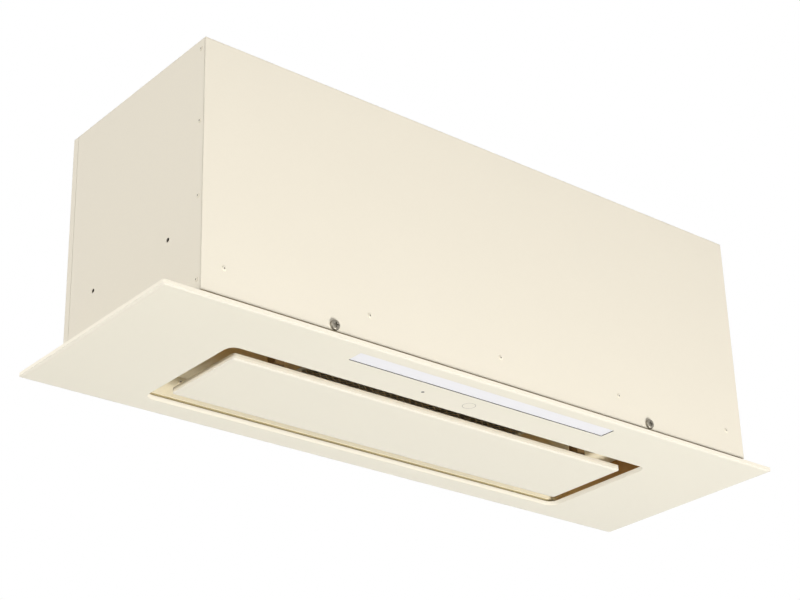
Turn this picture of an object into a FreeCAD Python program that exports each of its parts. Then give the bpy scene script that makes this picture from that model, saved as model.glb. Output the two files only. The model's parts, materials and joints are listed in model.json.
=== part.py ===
import FreeCAD, Part
import Sketcher
import math
import os
import re

# A built-in range hood: a painted steel box that stands in a cabinet, and under it a glass flange whose
# recess is closed, all but for an even slot, by a suction panel on two hinges.
# Millimetres. x runs to the right, y to the back, z up. The origin is the middle of the plane on which the
# flange meets the cabinet: z = 0 is the upper face of the glass.

Vector = FreeCAD.Vector

SIZES = {
    # glass flange
    "flange_width": 900,
    "flange_depth": 286,
    "flange_radius": 3.2,
    "glass_thickness": 5,
    "bevel_width": 3,
    "bevel_drop": 1,
    "tape_thickness": 3.5,
    # steel box; its front stands a little behind the flange's front edge
    "body_width": 808,
    "body_depth": 270,
    "body_height": 298.5,
    "front_overhang": 4,
    "steel": 1,
    "seam_gap": 0.4,
    "fold_width": 16,
    # recess and the slot round the suction panel
    "opening_width": 622,
    "opening_depth": 168,
    "opening_radius": 11,
    "opening_shift": 25.5,
    "recess_width": 658,
    "recess_height": 30.5,
    "panel_width": 582,
    "panel_depth": 120,
    "panel_radius": 4,
    "panel_glass": 4,
    "panel_tray": 3,
    # hinges of the suction panel
    "hinge_spread": 225,
    "hinge_rise": 9,
    "hinge_setback": 2.5,
    "hinge_pin_radius": 2,
    "hinge_eye_radius": 5,
    "hinge_sheet": 2,
    "bracket_screw_shift": 9,
    "bracket_screw_rise": 21,
    "running_gap": 0.05,
    # grease filter
    "filter_width": 341,
    "filter_depth": 131,
    "filter_thickness": 9,
    "filter_wall": 6,
    "filter_gap": 0.5,
    # light and keys in the glass
    "window_width": 380,
    "window_depth": 21.5,
    "window_radius": 1,
    "window_setback": 28.75,
    "window_sink": 0.8,
    "key_setback": 60.7,
    "key_radius": 8,
    "key_line": 0.6,
    "key_groove": 0.4,
    "sensor_shift": 68.4,
    "sensor_radius": 1.9,
    # fasteners
    "screw_spread": 236,
    "screw_rise": 9.5,
    "screw_radius": 2.5,
    "screw_head_radius": 6,
    "screw_head_height": 3.4,
    "rivet_pitch": 188,
    "rivet_rise": 34.5,
    "rivet_radius": 1.6,
    "rivet_head_radius": 2.6,
    "rivet_setback": 8,
    "wall_rivet_spread": 264,
    "wall_rivet_rise": 25,
    "fixing_pitch": 148,
    "fixing_shift": -2,
    "fixing_rise": 84.5,
    "fixing_radius": 2.5,
    "upstand_height": 18,
    "lip_height": 13,
    # blower
    "scroll_radius": 112,
    "scroll_step": 12,
    "scroll_rise": 162,
    "scroll_width": 150,
    "scroll_wall": 2,
    "wheel_radius": 72,
    "wheel_width": 128,
    "wheel_shift": 4,
    "wheel_drop": 6,
    "inlet_radius": 58,
    "case_screw_radius": 1.8,
    "case_screw_gap": 0.1,
    "shaft_radius": 4,
    # air outlet
    "outlet_radius": 74.8,
    "outlet_wall": 1.8,
    "outlet_height": 40,
    "outlet_shift": 5,
    "outlet_rim": 90,
    "outlet_screw_circle": 81,
    "outlet_screw_hole": 2.2,
    "damper_rise": 11,
    "damper_pin_radius": 1.6,
    # cable entry
    "gland_x": -360,
    "gland_y": 62,
    "gland_radius": 8,
    "cable_radius": 4,
}

BLADE_COUNT = 36
CORNER_RIVET_RISES = (17, 113, 202, 291)
SIDE_RIVET_YS = (-60, 50)

doc = FreeCAD.newDocument("RangeHood")
sheet = doc.addObject("Spreadsheet::Sheet", "Sizes")
for row, (alias, number) in enumerate(SIZES.items(), start=1):
    sheet.set(f"A{row}", alias)
    sheet.set(f"B{row}", str(number))
    sheet.setAlias(f"B{row}", alias)
doc.recompute()

NODES = {}


# ---------------------------------------------------------------- helpers

def size(alias):
    """The number in the sheet's cell of that name."""
    return float(sheet.get(alias))


def formula(text):
    """A formula in bare size names, with each name pointed at its cell."""
    return re.sub(r"[a-z_]+", lambda word: f"Sizes.{word[0]}" if word[0] in SIZES else word[0], str(text))


def node(name, thing):
    """Marks a finished sub-part. Its name is its file's name."""
    thing.Label = name
    NODES[name] = thing
    return thing


def across(half):
    """The limits of something centred on the middle plane."""
    return f"-({half})", f"{half}"


def on_side(side, low, high):
    """Limits given for the right-hand side, turned over for the left (side -1)."""
    return (low, high) if side > 0 else (f"-({high})", f"-({low})")


def box(name, x_limits, y_limits, z_limits):
    """A block between pairs of low and high limits."""
    block = doc.addObject("Part::Box", name)
    edges = zip(("Length", "Width", "Height"), "xyz", (x_limits, y_limits, z_limits))
    for edge, axis, (low, high) in edges:
        block.setExpression(edge, formula(f"({high}) - ({low})"))
        block.setExpression(f"Placement.Base.{axis}", formula(low))
    return block


TURNS = {
    "x": FreeCAD.Rotation(Vector(0, 1, 0), 90),
    "y": FreeCAD.Rotation(Vector(1, 0, 0), -90),
    "z": FreeCAD.Rotation(),
}


def rod(name, radius, start, length, along="z"):
    """A round bar from a start point along +x, +y or +z."""
    bar = doc.addObject("Part::Cylinder", name)
    bar.Placement = FreeCAD.Placement(Vector(), TURNS[along])
    bar.setExpression("Radius", formula(radius))
    bar.setExpression("Height", formula(length))
    for axis, place in zip("xyz", start):
        bar.setExpression(f"Placement.Base.{axis}", formula(place))
    return bar


def fuse(name, *pieces):
    joined = doc.addObject("Part::MultiFuse", name)
    joined.Shapes = list(pieces)
    joined.Refine = True
    return joined


def cut(name, base, *tools):
    """The base less every tool."""
    result = doc.addObject("Part::Cut", name)
    result.Base = base
    result.Tool = tools[0] if len(tools) == 1 else fuse(name + "_tools", *tools)
    result.Refine = True
    return result


def group(name, *pieces):
    """Several like pieces that stay separate solids."""
    together = doc.addObject("Part::Compound", name)
    together.Links = list(pieces)
    return together


def made(name, shape):
    """A sub-part whose form needs loops or curves of its own; its sizes come from the sheet."""
    feature = doc.addObject("Part::Feature", name)
    feature.Shape = shape
    return node(name, feature)


def origin_plane(body, role):
    return next(plane for plane in body.Origin.OriginFeatures if plane.Role == role)


def rounded_outline(body, name, width, depth, radius, growth, centre_y, level):
    """A sketch of a rounded rectangle, grown by a margin on every side."""
    half_width = size(width) / 2 + growth
    half_depth = size(depth) / 2 + growth
    corner = size(radius) + growth
    sketch = body.newObject("Sketcher::SketchObject", name)
    sketch.AttachmentSupport = (origin_plane(body, "XY_Plane"), [""])
    sketch.MapMode = "FlatFace"
    sketch.setExpression("AttachmentOffset.Base.y", formula(centre_y))
    sketch.setExpression("AttachmentOffset.Base.z", formula(level))
    inner_x, inner_y = half_width - corner, half_depth - corner
    upward = Vector(0, 0, 1)
    sides = [
        ((-inner_x, -half_depth), (inner_x, -half_depth)),
        ((half_width, -inner_y), (half_width, inner_y)),
        ((inner_x, half_depth), (-inner_x, half_depth)),
        ((-half_width, inner_y), (-half_width, -inner_y)),
    ]
    for start, end in sides:
        sketch.addGeometry(Part.LineSegment(Vector(*start, 0), Vector(*end, 0)), False)
    corners = [(inner_x, -inner_y), (inner_x, inner_y), (-inner_x, inner_y), (-inner_x, -inner_y)]
    for quarter, (x, y) in enumerate(corners):
        circle = Part.Circle(Vector(x, y, 0), upward, corner)
        first = (quarter - 1) * math.pi / 2
        sketch.addGeometry(Part.ArcOfCircle(circle, first, first + math.pi / 2), False)
    Rule = Sketcher.Constraint
    for line in range(4):
        arc = line + 4
        sketch.addConstraint(Rule("Tangent", line, 2, arc, 1))
        sketch.addConstraint(Rule("Tangent", arc, 2, (line + 1) % 4, 1))
        sketch.addConstraint(Rule("Horizontal" if line % 2 == 0 else "Vertical", line))
    for arc in (5, 6, 7):
        sketch.addConstraint(Rule("Equal", 4, arc))
    sketch.addConstraint(Rule("Symmetric", 0, 1, 2, 1, -1, 1))
    spans = [
        ("span_x", Rule("DistanceX", 3, 1, 1, 1, 2 * half_width), f"{width} + {2 * growth}"),
        ("span_y", Rule("DistanceY", 0, 1, 2, 1, 2 * half_depth), f"{depth} + {2 * growth}"),
        ("corner", Rule("Radius", 4, corner), f"{radius} + {growth}"),
    ]
    for label, rule, text in spans:
        index = sketch.addConstraint(rule)
        sketch.renameConstraint(index, label)
        sketch.setExpression(f"Constraints.{label}", formula(text))
    return sketch


def rounded_prism(name, width, depth, radius, centre_y, level, height, growth=0.0):
    """A plate or plug with rounded corners, standing on a level."""
    body = doc.addObject("PartDesign::Body", name)
    outline = rounded_outline(body, name + "_outline", width, depth, radius, growth, centre_y, level)
    pad = body.newObject("PartDesign::Pad", name + "_pad")
    pad.Profile = outline
    pad.setExpression("Length", formula(height))
    body.Tip = pad
    doc.recompute()
    return body


def bevel_lower_edges(body, name, level):
    """A wide shallow bevel along every edge of the body that lies on its lower face."""
    tip = body.Tip
    low = size(level) if level in SIZES else level
    lying = []
    for index, edge in enumerate(tip.Shape.Edges, start=1):
        bounds = edge.BoundBox
        if abs(bounds.ZMin - low) < 1e-6 and abs(bounds.ZMax - low) < 1e-6:
            lying.append(f"Edge{index}")
    flat_before = tip.Shape.BoundBox.XLength
    bevel = body.newObject("PartDesign::Chamfer", name)
    bevel.Base = (tip, lying)
    bevel.ChamferType = "Two distances"
    bevel.setExpression("Size", formula("bevel_width"))
    bevel.setExpression("Size2", formula("bevel_drop"))
    body.Tip = bevel
    doc.recompute()
    lower_faces = [face for face in bevel.Shape.Faces
                   if abs(face.BoundBox.ZMin - low) < 1e-6 and face.BoundBox.ZLength < 1e-6]
    narrowed = flat_before - max(face.BoundBox.XLength for face in lower_faces)
    if abs(narrowed - 2 * size("bevel_width")) > 0.01:
        bevel.FlipDirection = True
        doc.recompute()


def pan_screw(head_radius, head_height, shank_radius, shank_length):
    """A pan-head screw with a cross recess, pointing down -z from its seat at z = 0."""
    head = Part.makeCylinder(head_radius, head_height)
    top_edges = [edge for edge in head.Edges if edge.BoundBox.ZMin > head_height - 1e-6]
    head = head.makeFillet(head_height * 0.6, top_edges)
    slot_width = head_radius * 0.26
    slot_length = head_radius * 1.05
    slot_depth = head_height * 0.55
    for along, beside in ((slot_length, slot_width), (slot_width, slot_length)):
        corner = Vector(-along / 2, -beside / 2, head_height - slot_depth)
        head = head.cut(Part.makeBox(along, beside, slot_depth + 1, corner))
    shank = Part.makeCylinder(shank_radius, shank_length, Vector(0, 0, -shank_length))
    return head.fuse(shank).removeSplitter()


def rivet(grip):
    """A rivet through sheets of that total thickness, pointing down -z from its seat at z = 0."""
    head_height, tail_height = 0.8, 1.0
    head = Part.makeCylinder(size("rivet_head_radius"), head_height)
    top_edges = [edge for edge in head.Edges if edge.BoundBox.ZMin > head_height - 1e-6]
    head = head.makeFillet(head_height * 0.6, top_edges)
    shank = Part.makeCylinder(size("rivet_radius"), grip, Vector(0, 0, -grip))
    tail = Part.makeCylinder(size("rivet_head_radius") - 0.2, tail_height, Vector(0, 0, -grip - tail_height))
    return head.fuse([shank, tail]).removeSplitter()


def placed(shape, point, outward):
    """A copy of a fastener seated at a point, its head towards the outward direction."""
    copy = shape.copy()
    copy.Placement = FreeCAD.Placement(point, FreeCAD.Rotation(Vector(0, 0, 1), outward))
    return copy


def drilled(name, base, radius, points, along, reach=20):
    """The base with a round hole at each point, cut both ways along an axis."""
    holes = []
    for number, point in enumerate(points, start=1):
        start = list(point)
        start["xyz".index(along)] = f"{start['xyz'.index(along)]} - {reach / 2}"
        holes.append(rod(f"{name}_hole{number}", radius, start, reach, along))
    return cut(name, base, *holes)


LEFT, RIGHT, UP = Vector(-1, 0, 0), Vector(1, 0, 0), Vector(0, 0, 1)
FORWARD, BACKWARD = Vector(0, -1, 0), Vector(0, 1, 0)

# planes and limits that many pieces share
FRONT = "-flange_depth / 2 + front_overhang"
REAR = f"({FRONT} + body_depth)"
SIDE = "body_width / 2"
BASE = "tape_thickness"
TOP = "tape_thickness + body_height"
WALL_TOP = f"({TOP} - steel)"
INNER_SIDE = f"({SIDE} - 2 * steel)"
INNER_FRONT = f"({FRONT} + steel)"
INNER_REAR = f"({REAR} - steel)"
RECESS_REAR = "(opening_shift + opening_depth / 2)"

front_y = -size("flange_depth") / 2 + size("front_overhang")
rear_y = front_y + size("body_depth")
side_x = size("body_width") / 2
top_z = size("tape_thickness") + size("body_height")
recess_rear_y = size("opening_shift") + size("opening_depth") / 2


# ---------------------------------------------------------------- glass flange, tape and seals

def glass_panel():
    """Painted glass with the recess opening, the light window, the sensor hole and the key's groove."""
    body = rounded_prism("glass_panel", "flange_width", "flange_depth", "flange_radius",
                         "0", "-glass_thickness", "glass_thickness")
    opening = rounded_outline(body, "glass_opening", "opening_width", "opening_depth", "opening_radius",
                              0, "opening_shift", "-glass_thickness")
    pocket = body.newObject("PartDesign::Pocket", "glass_opening_pocket")
    pocket.Profile = opening
    pocket.Type = "ThroughAll"
    pocket.Midplane = True
    body.Tip = pocket
    doc.recompute()
    bevel_lower_edges(body, "glass_bevel", -size("glass_thickness"))
    window = rounded_prism("window_plug", "window_width", "window_depth", "window_radius",
                           "-flange_depth / 2 + window_setback", "-glass_thickness - 1",
                           "glass_thickness + 2")
    key_y = "-flange_depth / 2 + key_setback"
    sensor = rod("sensor_hole", "sensor_radius", ("-sensor_shift", key_y, "-glass_thickness - 1"),
                 "glass_thickness + 2")
    groove_start = ("0", key_y, "-glass_thickness - 1")
    groove = cut("key_groove_tool",
                 rod("key_groove_outer", "key_radius", groove_start, "key_groove + 1"),
                 rod("key_groove_inner", "key_radius - key_line", groove_start, "key_groove + 1"))
    node("glass_panel", cut("glass_with_cutouts", body, window, sensor, groove))


def bonding_tape():
    """Pale foam tape that bonds the glass to the steel: a loop under the box and one round the recess."""
    height = (0, "tape_thickness")
    inset, width = 3, 8
    outer = cut("tape_outer",
                box("tape_outer_block", across(f"{SIDE} - {inset}"),
                    (f"{FRONT} + {inset}", f"{REAR} - {inset}"), height),
                box("tape_outer_void", across(f"{SIDE} - {inset + width}"),
                    (f"{FRONT} + {inset + width}", f"{REAR} - {inset + width}"), (-1, "tape_thickness + 1")))
    loop_outside, loop_inside = 10.0, 1.5
    loop_plug = rounded_prism("tape_loop_plug", "recess_width", "opening_depth", "opening_radius",
                              "opening_shift", "0", "tape_thickness", growth=loop_outside)
    loop_void = rounded_prism("tape_loop_void", "recess_width", "opening_depth", "opening_radius",
                              "opening_shift", "-1", "tape_thickness + 2", growth=loop_inside)
    loop = cut("tape_loop", loop_plug, loop_void)
    strip_x, strip_width = 250, 8
    strip_y = (f"{FRONT} + {inset + width} - 1", "opening_shift - opening_depth / 2 - 9")
    strips = [box(f"tape_strip{side}", on_side(side, strip_x, strip_x + strip_width), strip_y, height)
              for side in (-1, 1)]
    node("bonding_tape", fuse("tape_joined", outer, loop, *strips))


def cabinet_seal():
    """A narrow foam seal on the flange's upper face, along both ends and the back."""
    height, width, edge = (0, 3), 8, 10
    outer = f"flange_width / 2 - {edge}"
    rear = "flange_depth / 2 - 3"
    sides = [box(f"seal_side{side}", on_side(side, f"{outer} - {width}", outer),
                 (f"-flange_depth / 2 + {edge}", rear), height) for side in (-1, 1)]
    back = box("seal_back", across(outer), (f"{rear} - {width - 1}", rear), height)
    node("cabinet_seal", fuse("seal_joined", back, *sides))


def light_and_key():
    """The diffusing window with its channel and LED board, the key's ring and board, the sensor's lens."""
    window_y = "-flange_depth / 2 + window_setback"
    window_gap = 0.3
    node("light_window", rounded_prism("light_window_body", "window_width", "window_depth", "window_radius",
                                       window_y, "-glass_thickness + window_sink",
                                       "glass_thickness - window_sink", growth=-window_gap))
    half_length, half_depth, height, wall = 200, 13, 14, 1.5
    channel_y = (f"{window_y} - {half_depth}", f"{window_y} + {half_depth}")
    hollow_y = (f"{window_y} - {half_depth - wall}", f"{window_y} + {half_depth - wall}")
    node("light_channel", cut("light_channel_cut",
                              box("light_channel_block", across(half_length), channel_y, (0, height)),
                              box("light_channel_void", across(half_length - wall), hollow_y,
                                  (-1, height - wall))))
    board_length, board_depth, board_thickness = 380, 10, 1.2
    board_y = -size("flange_depth") / 2 + size("window_setback")
    board_z = height - wall - board_thickness
    board = Part.makeBox(board_length, board_depth, board_thickness,
                         Vector(-board_length / 2, board_y - board_depth / 2, board_z))
    chip_count, chip_pitch, chip_x, chip_y, chip_height = 24, 15.5, 3.5, 2.8, 0.7
    chips = []
    for number in range(chip_count):
        centre_x = (number - (chip_count - 1) / 2) * chip_pitch
        corner = Vector(centre_x - chip_x / 2, board_y - chip_y / 2, board_z - chip_height)
        chips.append(Part.makeBox(chip_x, chip_y, chip_height, corner))
    made("light_board", board.fuse(chips).removeSplitter())
    key_y = "-flange_depth / 2 + key_setback"
    ring_start = ("0", key_y, "-glass_thickness")
    node("key_ring", cut("key_ring_cut",
                         rod("key_ring_outer", "key_radius", ring_start, "key_groove"),
                         rod("key_ring_inner", "key_radius - key_line", ring_start, "key_groove")))
    node("sensor_lens", rod("sensor_lens_rod", "sensor_radius", ("-sensor_shift", key_y, "-glass_thickness"),
                            "glass_thickness"))
    sheet, part_height = 1.6, 1.6

    def on_key_board(name, x_limits, half_depth, z_limits):
        return box(name, x_limits, (f"{key_y} - {half_depth}", f"{key_y} + {half_depth}"), z_limits)

    node("key_board", fuse("key_board_joined",
                           on_key_board("key_board_sheet", (-80, 20), 11, (0, sheet)),
                           on_key_board("key_board_chip", (-40, -28), 6, (sheet, sheet + part_height)),
                           on_key_board("key_board_socket", (4, 16), 4, (sheet, sheet + part_height))))


# ---------------------------------------------------------------- carrier, recess and steel box

def rivet_xs():
    return [step * size("rivet_pitch") for step in (-2, -1, 0, 1, 2)]


def bracket_screw_points(side):
    """Where a hinge bracket is screwed to the recess's back wall."""
    return [(f"{side} * hinge_spread + {end} * bracket_screw_shift", RECESS_REAR, "bracket_screw_rise")
            for end in (-1, 1)]


def carrier_frame():
    """The folded steel frame behind the glass: a plate, the recess's walls and upstands for the screws."""
    plate = box("carrier_plate", across(INNER_SIDE), (INNER_FRONT, INNER_REAR), (BASE, f"{BASE} + steel"))
    upstand_z = (BASE, f"{BASE} + upstand_height")
    upstands = [
        box("carrier_front", across(INNER_SIDE), (INNER_FRONT, f"{INNER_FRONT} + steel"), upstand_z),
        box("carrier_rear", across(INNER_SIDE), (f"{INNER_REAR} - steel", INNER_REAR), upstand_z),
    ]
    upstands += [box(f"carrier_side{side}", on_side(side, f"{INNER_SIDE} - steel", INNER_SIDE),
                     (f"{FRONT} + fold_width + 3", INNER_REAR), upstand_z) for side in (-1, 1)]
    wall_plug = rounded_prism("recess_wall_plug", "recess_width", "opening_depth", "opening_radius",
                              "opening_shift", BASE, f"recess_height - {BASE}", growth=size("steel"))
    void = rounded_prism("recess_void", "recess_width", "opening_depth", "opening_radius",
                         "opening_shift", "0", "recess_height + 2")
    window_y = "-flange_depth / 2 + window_setback"
    channel_hole = box("carrier_channel_hole", across(201), (f"{window_y} - 14", f"{window_y} + 14"),
                       (0, f"{BASE} + steel + 1"))
    blank = cut("carrier_open", fuse("carrier_joined", plate, *upstands, wall_plug), void, channel_hole)
    screws = [(f"{side} * screw_spread", y, "screw_rise") for side in (-1, 1) for y in (FRONT, REAR)]
    with_screw_holes = drilled("carrier_with_screw_holes", blank, "screw_radius + 0.2", screws, "y")
    studs = [place for side in (-1, 1) for place in bracket_screw_points(side)]
    with_stud_holes = drilled("carrier_with_stud_holes", with_screw_holes, "rivet_radius", studs, "y", 10)
    wall_rivets = [(f"{side} * wall_rivet_spread", RECESS_REAR, "wall_rivet_rise") for side in (-1, 1)]
    node("carrier_frame", drilled("carrier_drilled", with_stud_holes, "rivet_radius", wall_rivets, "y", 10))


def recess_tray():
    """The recess's ceiling, which carries the filter and ties the four walls together through its lips."""
    top = "recess_height + steel"
    lip_z = ("recess_height", "recess_height + lip_height")
    pieces = [
        box("tray_plate", across(INNER_SIDE), (INNER_FRONT, INNER_REAR), ("recess_height", top)),
        box("tray_front_lip", across(INNER_SIDE), (INNER_FRONT, f"{INNER_FRONT} + steel"), lip_z),
        box("tray_rear_lip", across(INNER_SIDE), (f"{INNER_REAR} - steel", INNER_REAR), lip_z),
    ]
    pieces += [box(f"tray_side_lip{side}", on_side(side, f"{INNER_SIDE} - steel", INNER_SIDE),
                   (INNER_FRONT, INNER_REAR), lip_z) for side in (-1, 1)]
    hole = box("tray_filter_hole", across("filter_width / 2 + filter_gap"),
               ("opening_shift - filter_depth / 2 - filter_gap",
                "opening_shift + filter_depth / 2 + filter_gap"), (0, "recess_height + 5"))
    blank = cut("tray_open", fuse("tray_joined", *pieces), hole)
    points = [(x, y, "rivet_rise") for x in rivet_xs() for y in (FRONT, REAR)]
    node("recess_tray", drilled("tray_drilled", blank, "rivet_radius", points, "y"))


def front_panel():
    """The front sheet, folded back at both sides and at the top."""
    fold = f"{FRONT} + fold_width"
    pieces = [
        box("front_sheet", across(SIDE), (FRONT, f"{FRONT} + steel"), (BASE, WALL_TOP)),
        box("front_top_fold", across(f"{SIDE} - 4"), (FRONT, fold), (f"{WALL_TOP} - steel", WALL_TOP)),
    ]
    pieces += [box(f"front_side_fold{side}", on_side(side, INNER_SIDE, f"{SIDE} - steel"), (FRONT, fold),
                   (BASE, WALL_TOP)) for side in (-1, 1)]
    blank = fuse("front_joined", *pieces)
    rivets = [(x, FRONT, "rivet_rise") for x in rivet_xs()]
    with_rivet_holes = drilled("front_with_rivet_holes", blank, "rivet_radius", rivets, "y", 6)
    screws = [(f"{side} * screw_spread", FRONT, "screw_rise") for side in (-1, 1)]
    with_screw_holes = drilled("front_with_screw_holes", with_rivet_holes,
                               "screw_radius + 0.2", screws, "y", 6)
    tops = [(x, f"{FRONT} + rivet_setback", WALL_TOP) for x in rivet_xs()]
    with_top_holes = drilled("front_with_top_holes", with_screw_holes, "rivet_radius", tops, "z", 6)
    corners = [(f"{side} * ({SIDE} - steel)", f"{FRONT} + rivet_setback", rise)
               for side in (-1, 1) for rise in CORNER_RIVET_RISES]
    node("front_panel", drilled("front_drilled", with_top_holes, "rivet_radius", corners, "x", 6))


def side_panel(name, side):
    """A side sheet: its front edge meets the front sheet, its rear edge steps in behind the rear fold."""
    rear_edge = f"{REAR} - 10"
    pieces = [
        box(f"{name}_sheet", on_side(side, f"{SIDE} - steel", SIDE),
            (f"{FRONT} + steel + seam_gap", rear_edge), (BASE, WALL_TOP)),
        box(f"{name}_step", on_side(side, INNER_SIDE, f"{SIDE} - steel"),
            (f"{rear_edge} - 12", f"{REAR} - 2"), (BASE, f"{WALL_TOP} - 1")),
        box(f"{name}_top_fold", on_side(side, f"{SIDE} - 15", f"{SIDE} - steel"),
            (f"{FRONT} + fold_width + 3", f"{rear_edge} - 14"), (f"{WALL_TOP} - steel", WALL_TOP)),
    ]
    blank = fuse(f"{name}_joined", *pieces)
    wall_x = f"{side} * {SIDE}"
    corners = [(wall_x, f"{FRONT} + rivet_setback", rise) for rise in CORNER_RIVET_RISES]
    with_rivet_holes = drilled(f"{name}_with_rivet_holes", blank, "rivet_radius", corners, "x", 6)
    tops = [(f"{side} * ({SIDE} - rivet_setback)", y, WALL_TOP) for y in SIDE_RIVET_YS]
    with_top_holes = drilled(f"{name}_with_top_holes", with_rivet_holes, "rivet_radius", tops, "z", 6)
    fixings = [(wall_x, f"fixing_shift + {end} * fixing_pitch / 2", "fixing_rise") for end in (-1, 1)]
    node(name, drilled(f"{name}_drilled", with_top_holes, "fixing_radius", fixings, "x", 6))


def rear_panel():
    """The rear sheet, with a narrow fold round each side and one along the top."""
    pieces = [
        box("rear_sheet", across(SIDE), (f"{REAR} - steel", REAR), (BASE, WALL_TOP)),
        box("rear_top_fold", across(f"{SIDE} - 4"), (f"{REAR} - fold_width", REAR),
            (f"{WALL_TOP} - steel", WALL_TOP)),
    ]
    pieces += [box(f"rear_side_fold{side}", on_side(side, f"{SIDE} - steel", SIDE),
                   (f"{REAR} - 10 + seam_gap", REAR), (BASE, WALL_TOP)) for side in (-1, 1)]
    blank = fuse("rear_joined", *pieces)
    rivets = [(x, REAR, "rivet_rise") for x in rivet_xs()]
    with_rivet_holes = drilled("rear_with_rivet_holes", blank, "rivet_radius", rivets, "y", 6)
    screws = [(f"{side} * screw_spread", REAR, "screw_rise") for side in (-1, 1)]
    with_screw_holes = drilled("rear_with_screw_holes", with_rivet_holes,
                               "screw_radius + 0.2", screws, "y", 6)
    tops = [(x, f"{REAR} - rivet_setback", WALL_TOP) for x in rivet_xs()]
    node("rear_panel", drilled("rear_drilled", with_screw_holes, "rivet_radius", tops, "z", 6))


def outlet_screw_points(level):
    """The four screw places round the air outlet, on its own axes."""
    circle, shift = "outlet_screw_circle", "outlet_shift"
    return [(circle, shift, level), (f"-{circle}", shift, level),
            ("0", f"{shift} + {circle}", level), ("0", f"{shift} - {circle}", level)]


def top_rivet_points():
    """Where the top sheet is riveted: x, y."""
    front = [(x, front_y + size("rivet_setback")) for x in rivet_xs()]
    rear = [(x, rear_y - size("rivet_setback")) for x in rivet_xs()]
    sides = [(side * (side_x - size("rivet_setback")), y) for side in (-1, 1) for y in SIDE_RIVET_YS]
    return front + rear + sides


def top_panel():
    """The top sheet with the air outlet's hole, the cable entry's hole and the fasteners' holes."""
    sheet_block = box("top_sheet", across(SIDE), (FRONT, REAR), (WALL_TOP, TOP))
    outlet = rod("top_outlet_hole", "outlet_radius - 2.3", ("0", "outlet_shift", f"{WALL_TOP} - 1"),
                 "steel + 2")
    entry = rod("top_entry_hole", "gland_radius", ("gland_x", "gland_y", f"{WALL_TOP} - 1"), "steel + 2")
    blank = cut("top_open", sheet_block, outlet, entry)
    with_screw_holes = drilled("top_with_screw_holes", blank, "outlet_screw_hole",
                               outlet_screw_points(WALL_TOP), "z", 6)
    rivets = [(x, y, WALL_TOP) for x, y in top_rivet_points()]
    node("top_panel", drilled("top_drilled", with_screw_holes, "rivet_radius", rivets, "z", 6))


def box_fasteners():
    """Rivets of the steel box and the screws, with their nuts, that hold the carrier in it."""
    grip = 2 * size("steel")
    rivet_z = size("rivet_rise")
    tray = [placed(rivet(grip), Vector(x, y, rivet_z), outward)
            for x in rivet_xs() for y, outward in ((front_y, FORWARD), (rear_y, BACKWARD))]
    tray += [placed(rivet(size("steel")),
                    Vector(side * size("wall_rivet_spread"), recess_rear_y, size("wall_rivet_rise")), FORWARD)
             for side in (-1, 1)]
    made("tray_rivets", Part.makeCompound(tray))
    corner = [placed(rivet(grip), Vector(x, front_y + size("rivet_setback"), rise), outward)
              for x, outward in ((-side_x, LEFT), (side_x, RIGHT)) for rise in CORNER_RIVET_RISES]
    made("corner_rivets", Part.makeCompound(corner))
    made("top_rivets", Part.makeCompound([placed(rivet(grip), Vector(x, y, top_z), UP)
                                          for x, y in top_rivet_points()]))
    shank_length, nut_height, nut_radius = 8, 4, 4.6
    screw = pan_screw(size("screw_head_radius"), size("screw_head_height"), size("screw_radius"),
                      shank_length)
    screws, nuts = [], []
    for side in (-1, 1):
        for y, outward in ((front_y, FORWARD), (rear_y, BACKWARD)):
            seat = Vector(side * size("screw_spread"), y, size("screw_rise"))
            screws.append(placed(screw, seat, outward))
            nut_start = seat - outward * grip
            blank = Part.makeCylinder(nut_radius, nut_height, nut_start, outward * -1)
            bore = Part.makeCylinder(size("screw_radius"), nut_height, nut_start, outward * -1)
            nuts.append(blank.cut(bore))
    made("carrier_screws", Part.makeCompound(screws))
    made("carrier_nuts", Part.makeCompound(nuts))


# ---------------------------------------------------------------- suction panel and its hinges

PANEL_BACK = "(panel_glass - glass_thickness)"
PANEL_FLOOR = f"({PANEL_BACK} + steel)"
HINGE_Y = "(opening_shift + panel_depth / 2 + hinge_setback)"
CATCH_Y = -24


def suction_panel():
    """The panel's glass, the shallow steel tray bonded behind it, and the plates that its catches hold."""
    glass = rounded_prism("suction_glass_body", "panel_width", "panel_depth", "panel_radius",
                          "opening_shift", "-glass_thickness", "panel_glass")
    bevel_lower_edges(glass, "suction_glass_bevel", -size("glass_thickness"))
    node("suction_glass", glass)
    plug = rounded_prism("panel_tray_plug", "panel_width", "panel_depth", "panel_radius",
                         "opening_shift", PANEL_BACK, "panel_tray")
    void = rounded_prism("panel_tray_void", "panel_width", "panel_depth", "panel_radius",
                         "opening_shift", PANEL_FLOOR, "panel_tray", growth=-1.0)
    node("panel_tray", cut("panel_tray_cut", plug, void))
    half_depth, thickness = 8, 2
    plates = [box(f"catch_plate{side}", on_side(side, "hinge_spread - 7", "hinge_spread + 13"),
                  (CATCH_Y - half_depth, CATCH_Y + half_depth), (PANEL_FLOOR, f"{PANEL_FLOOR} + {thickness}"))
              for side in (-1, 1)]
    node("catch_plates", group("catch_plate_pair", *plates))


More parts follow.
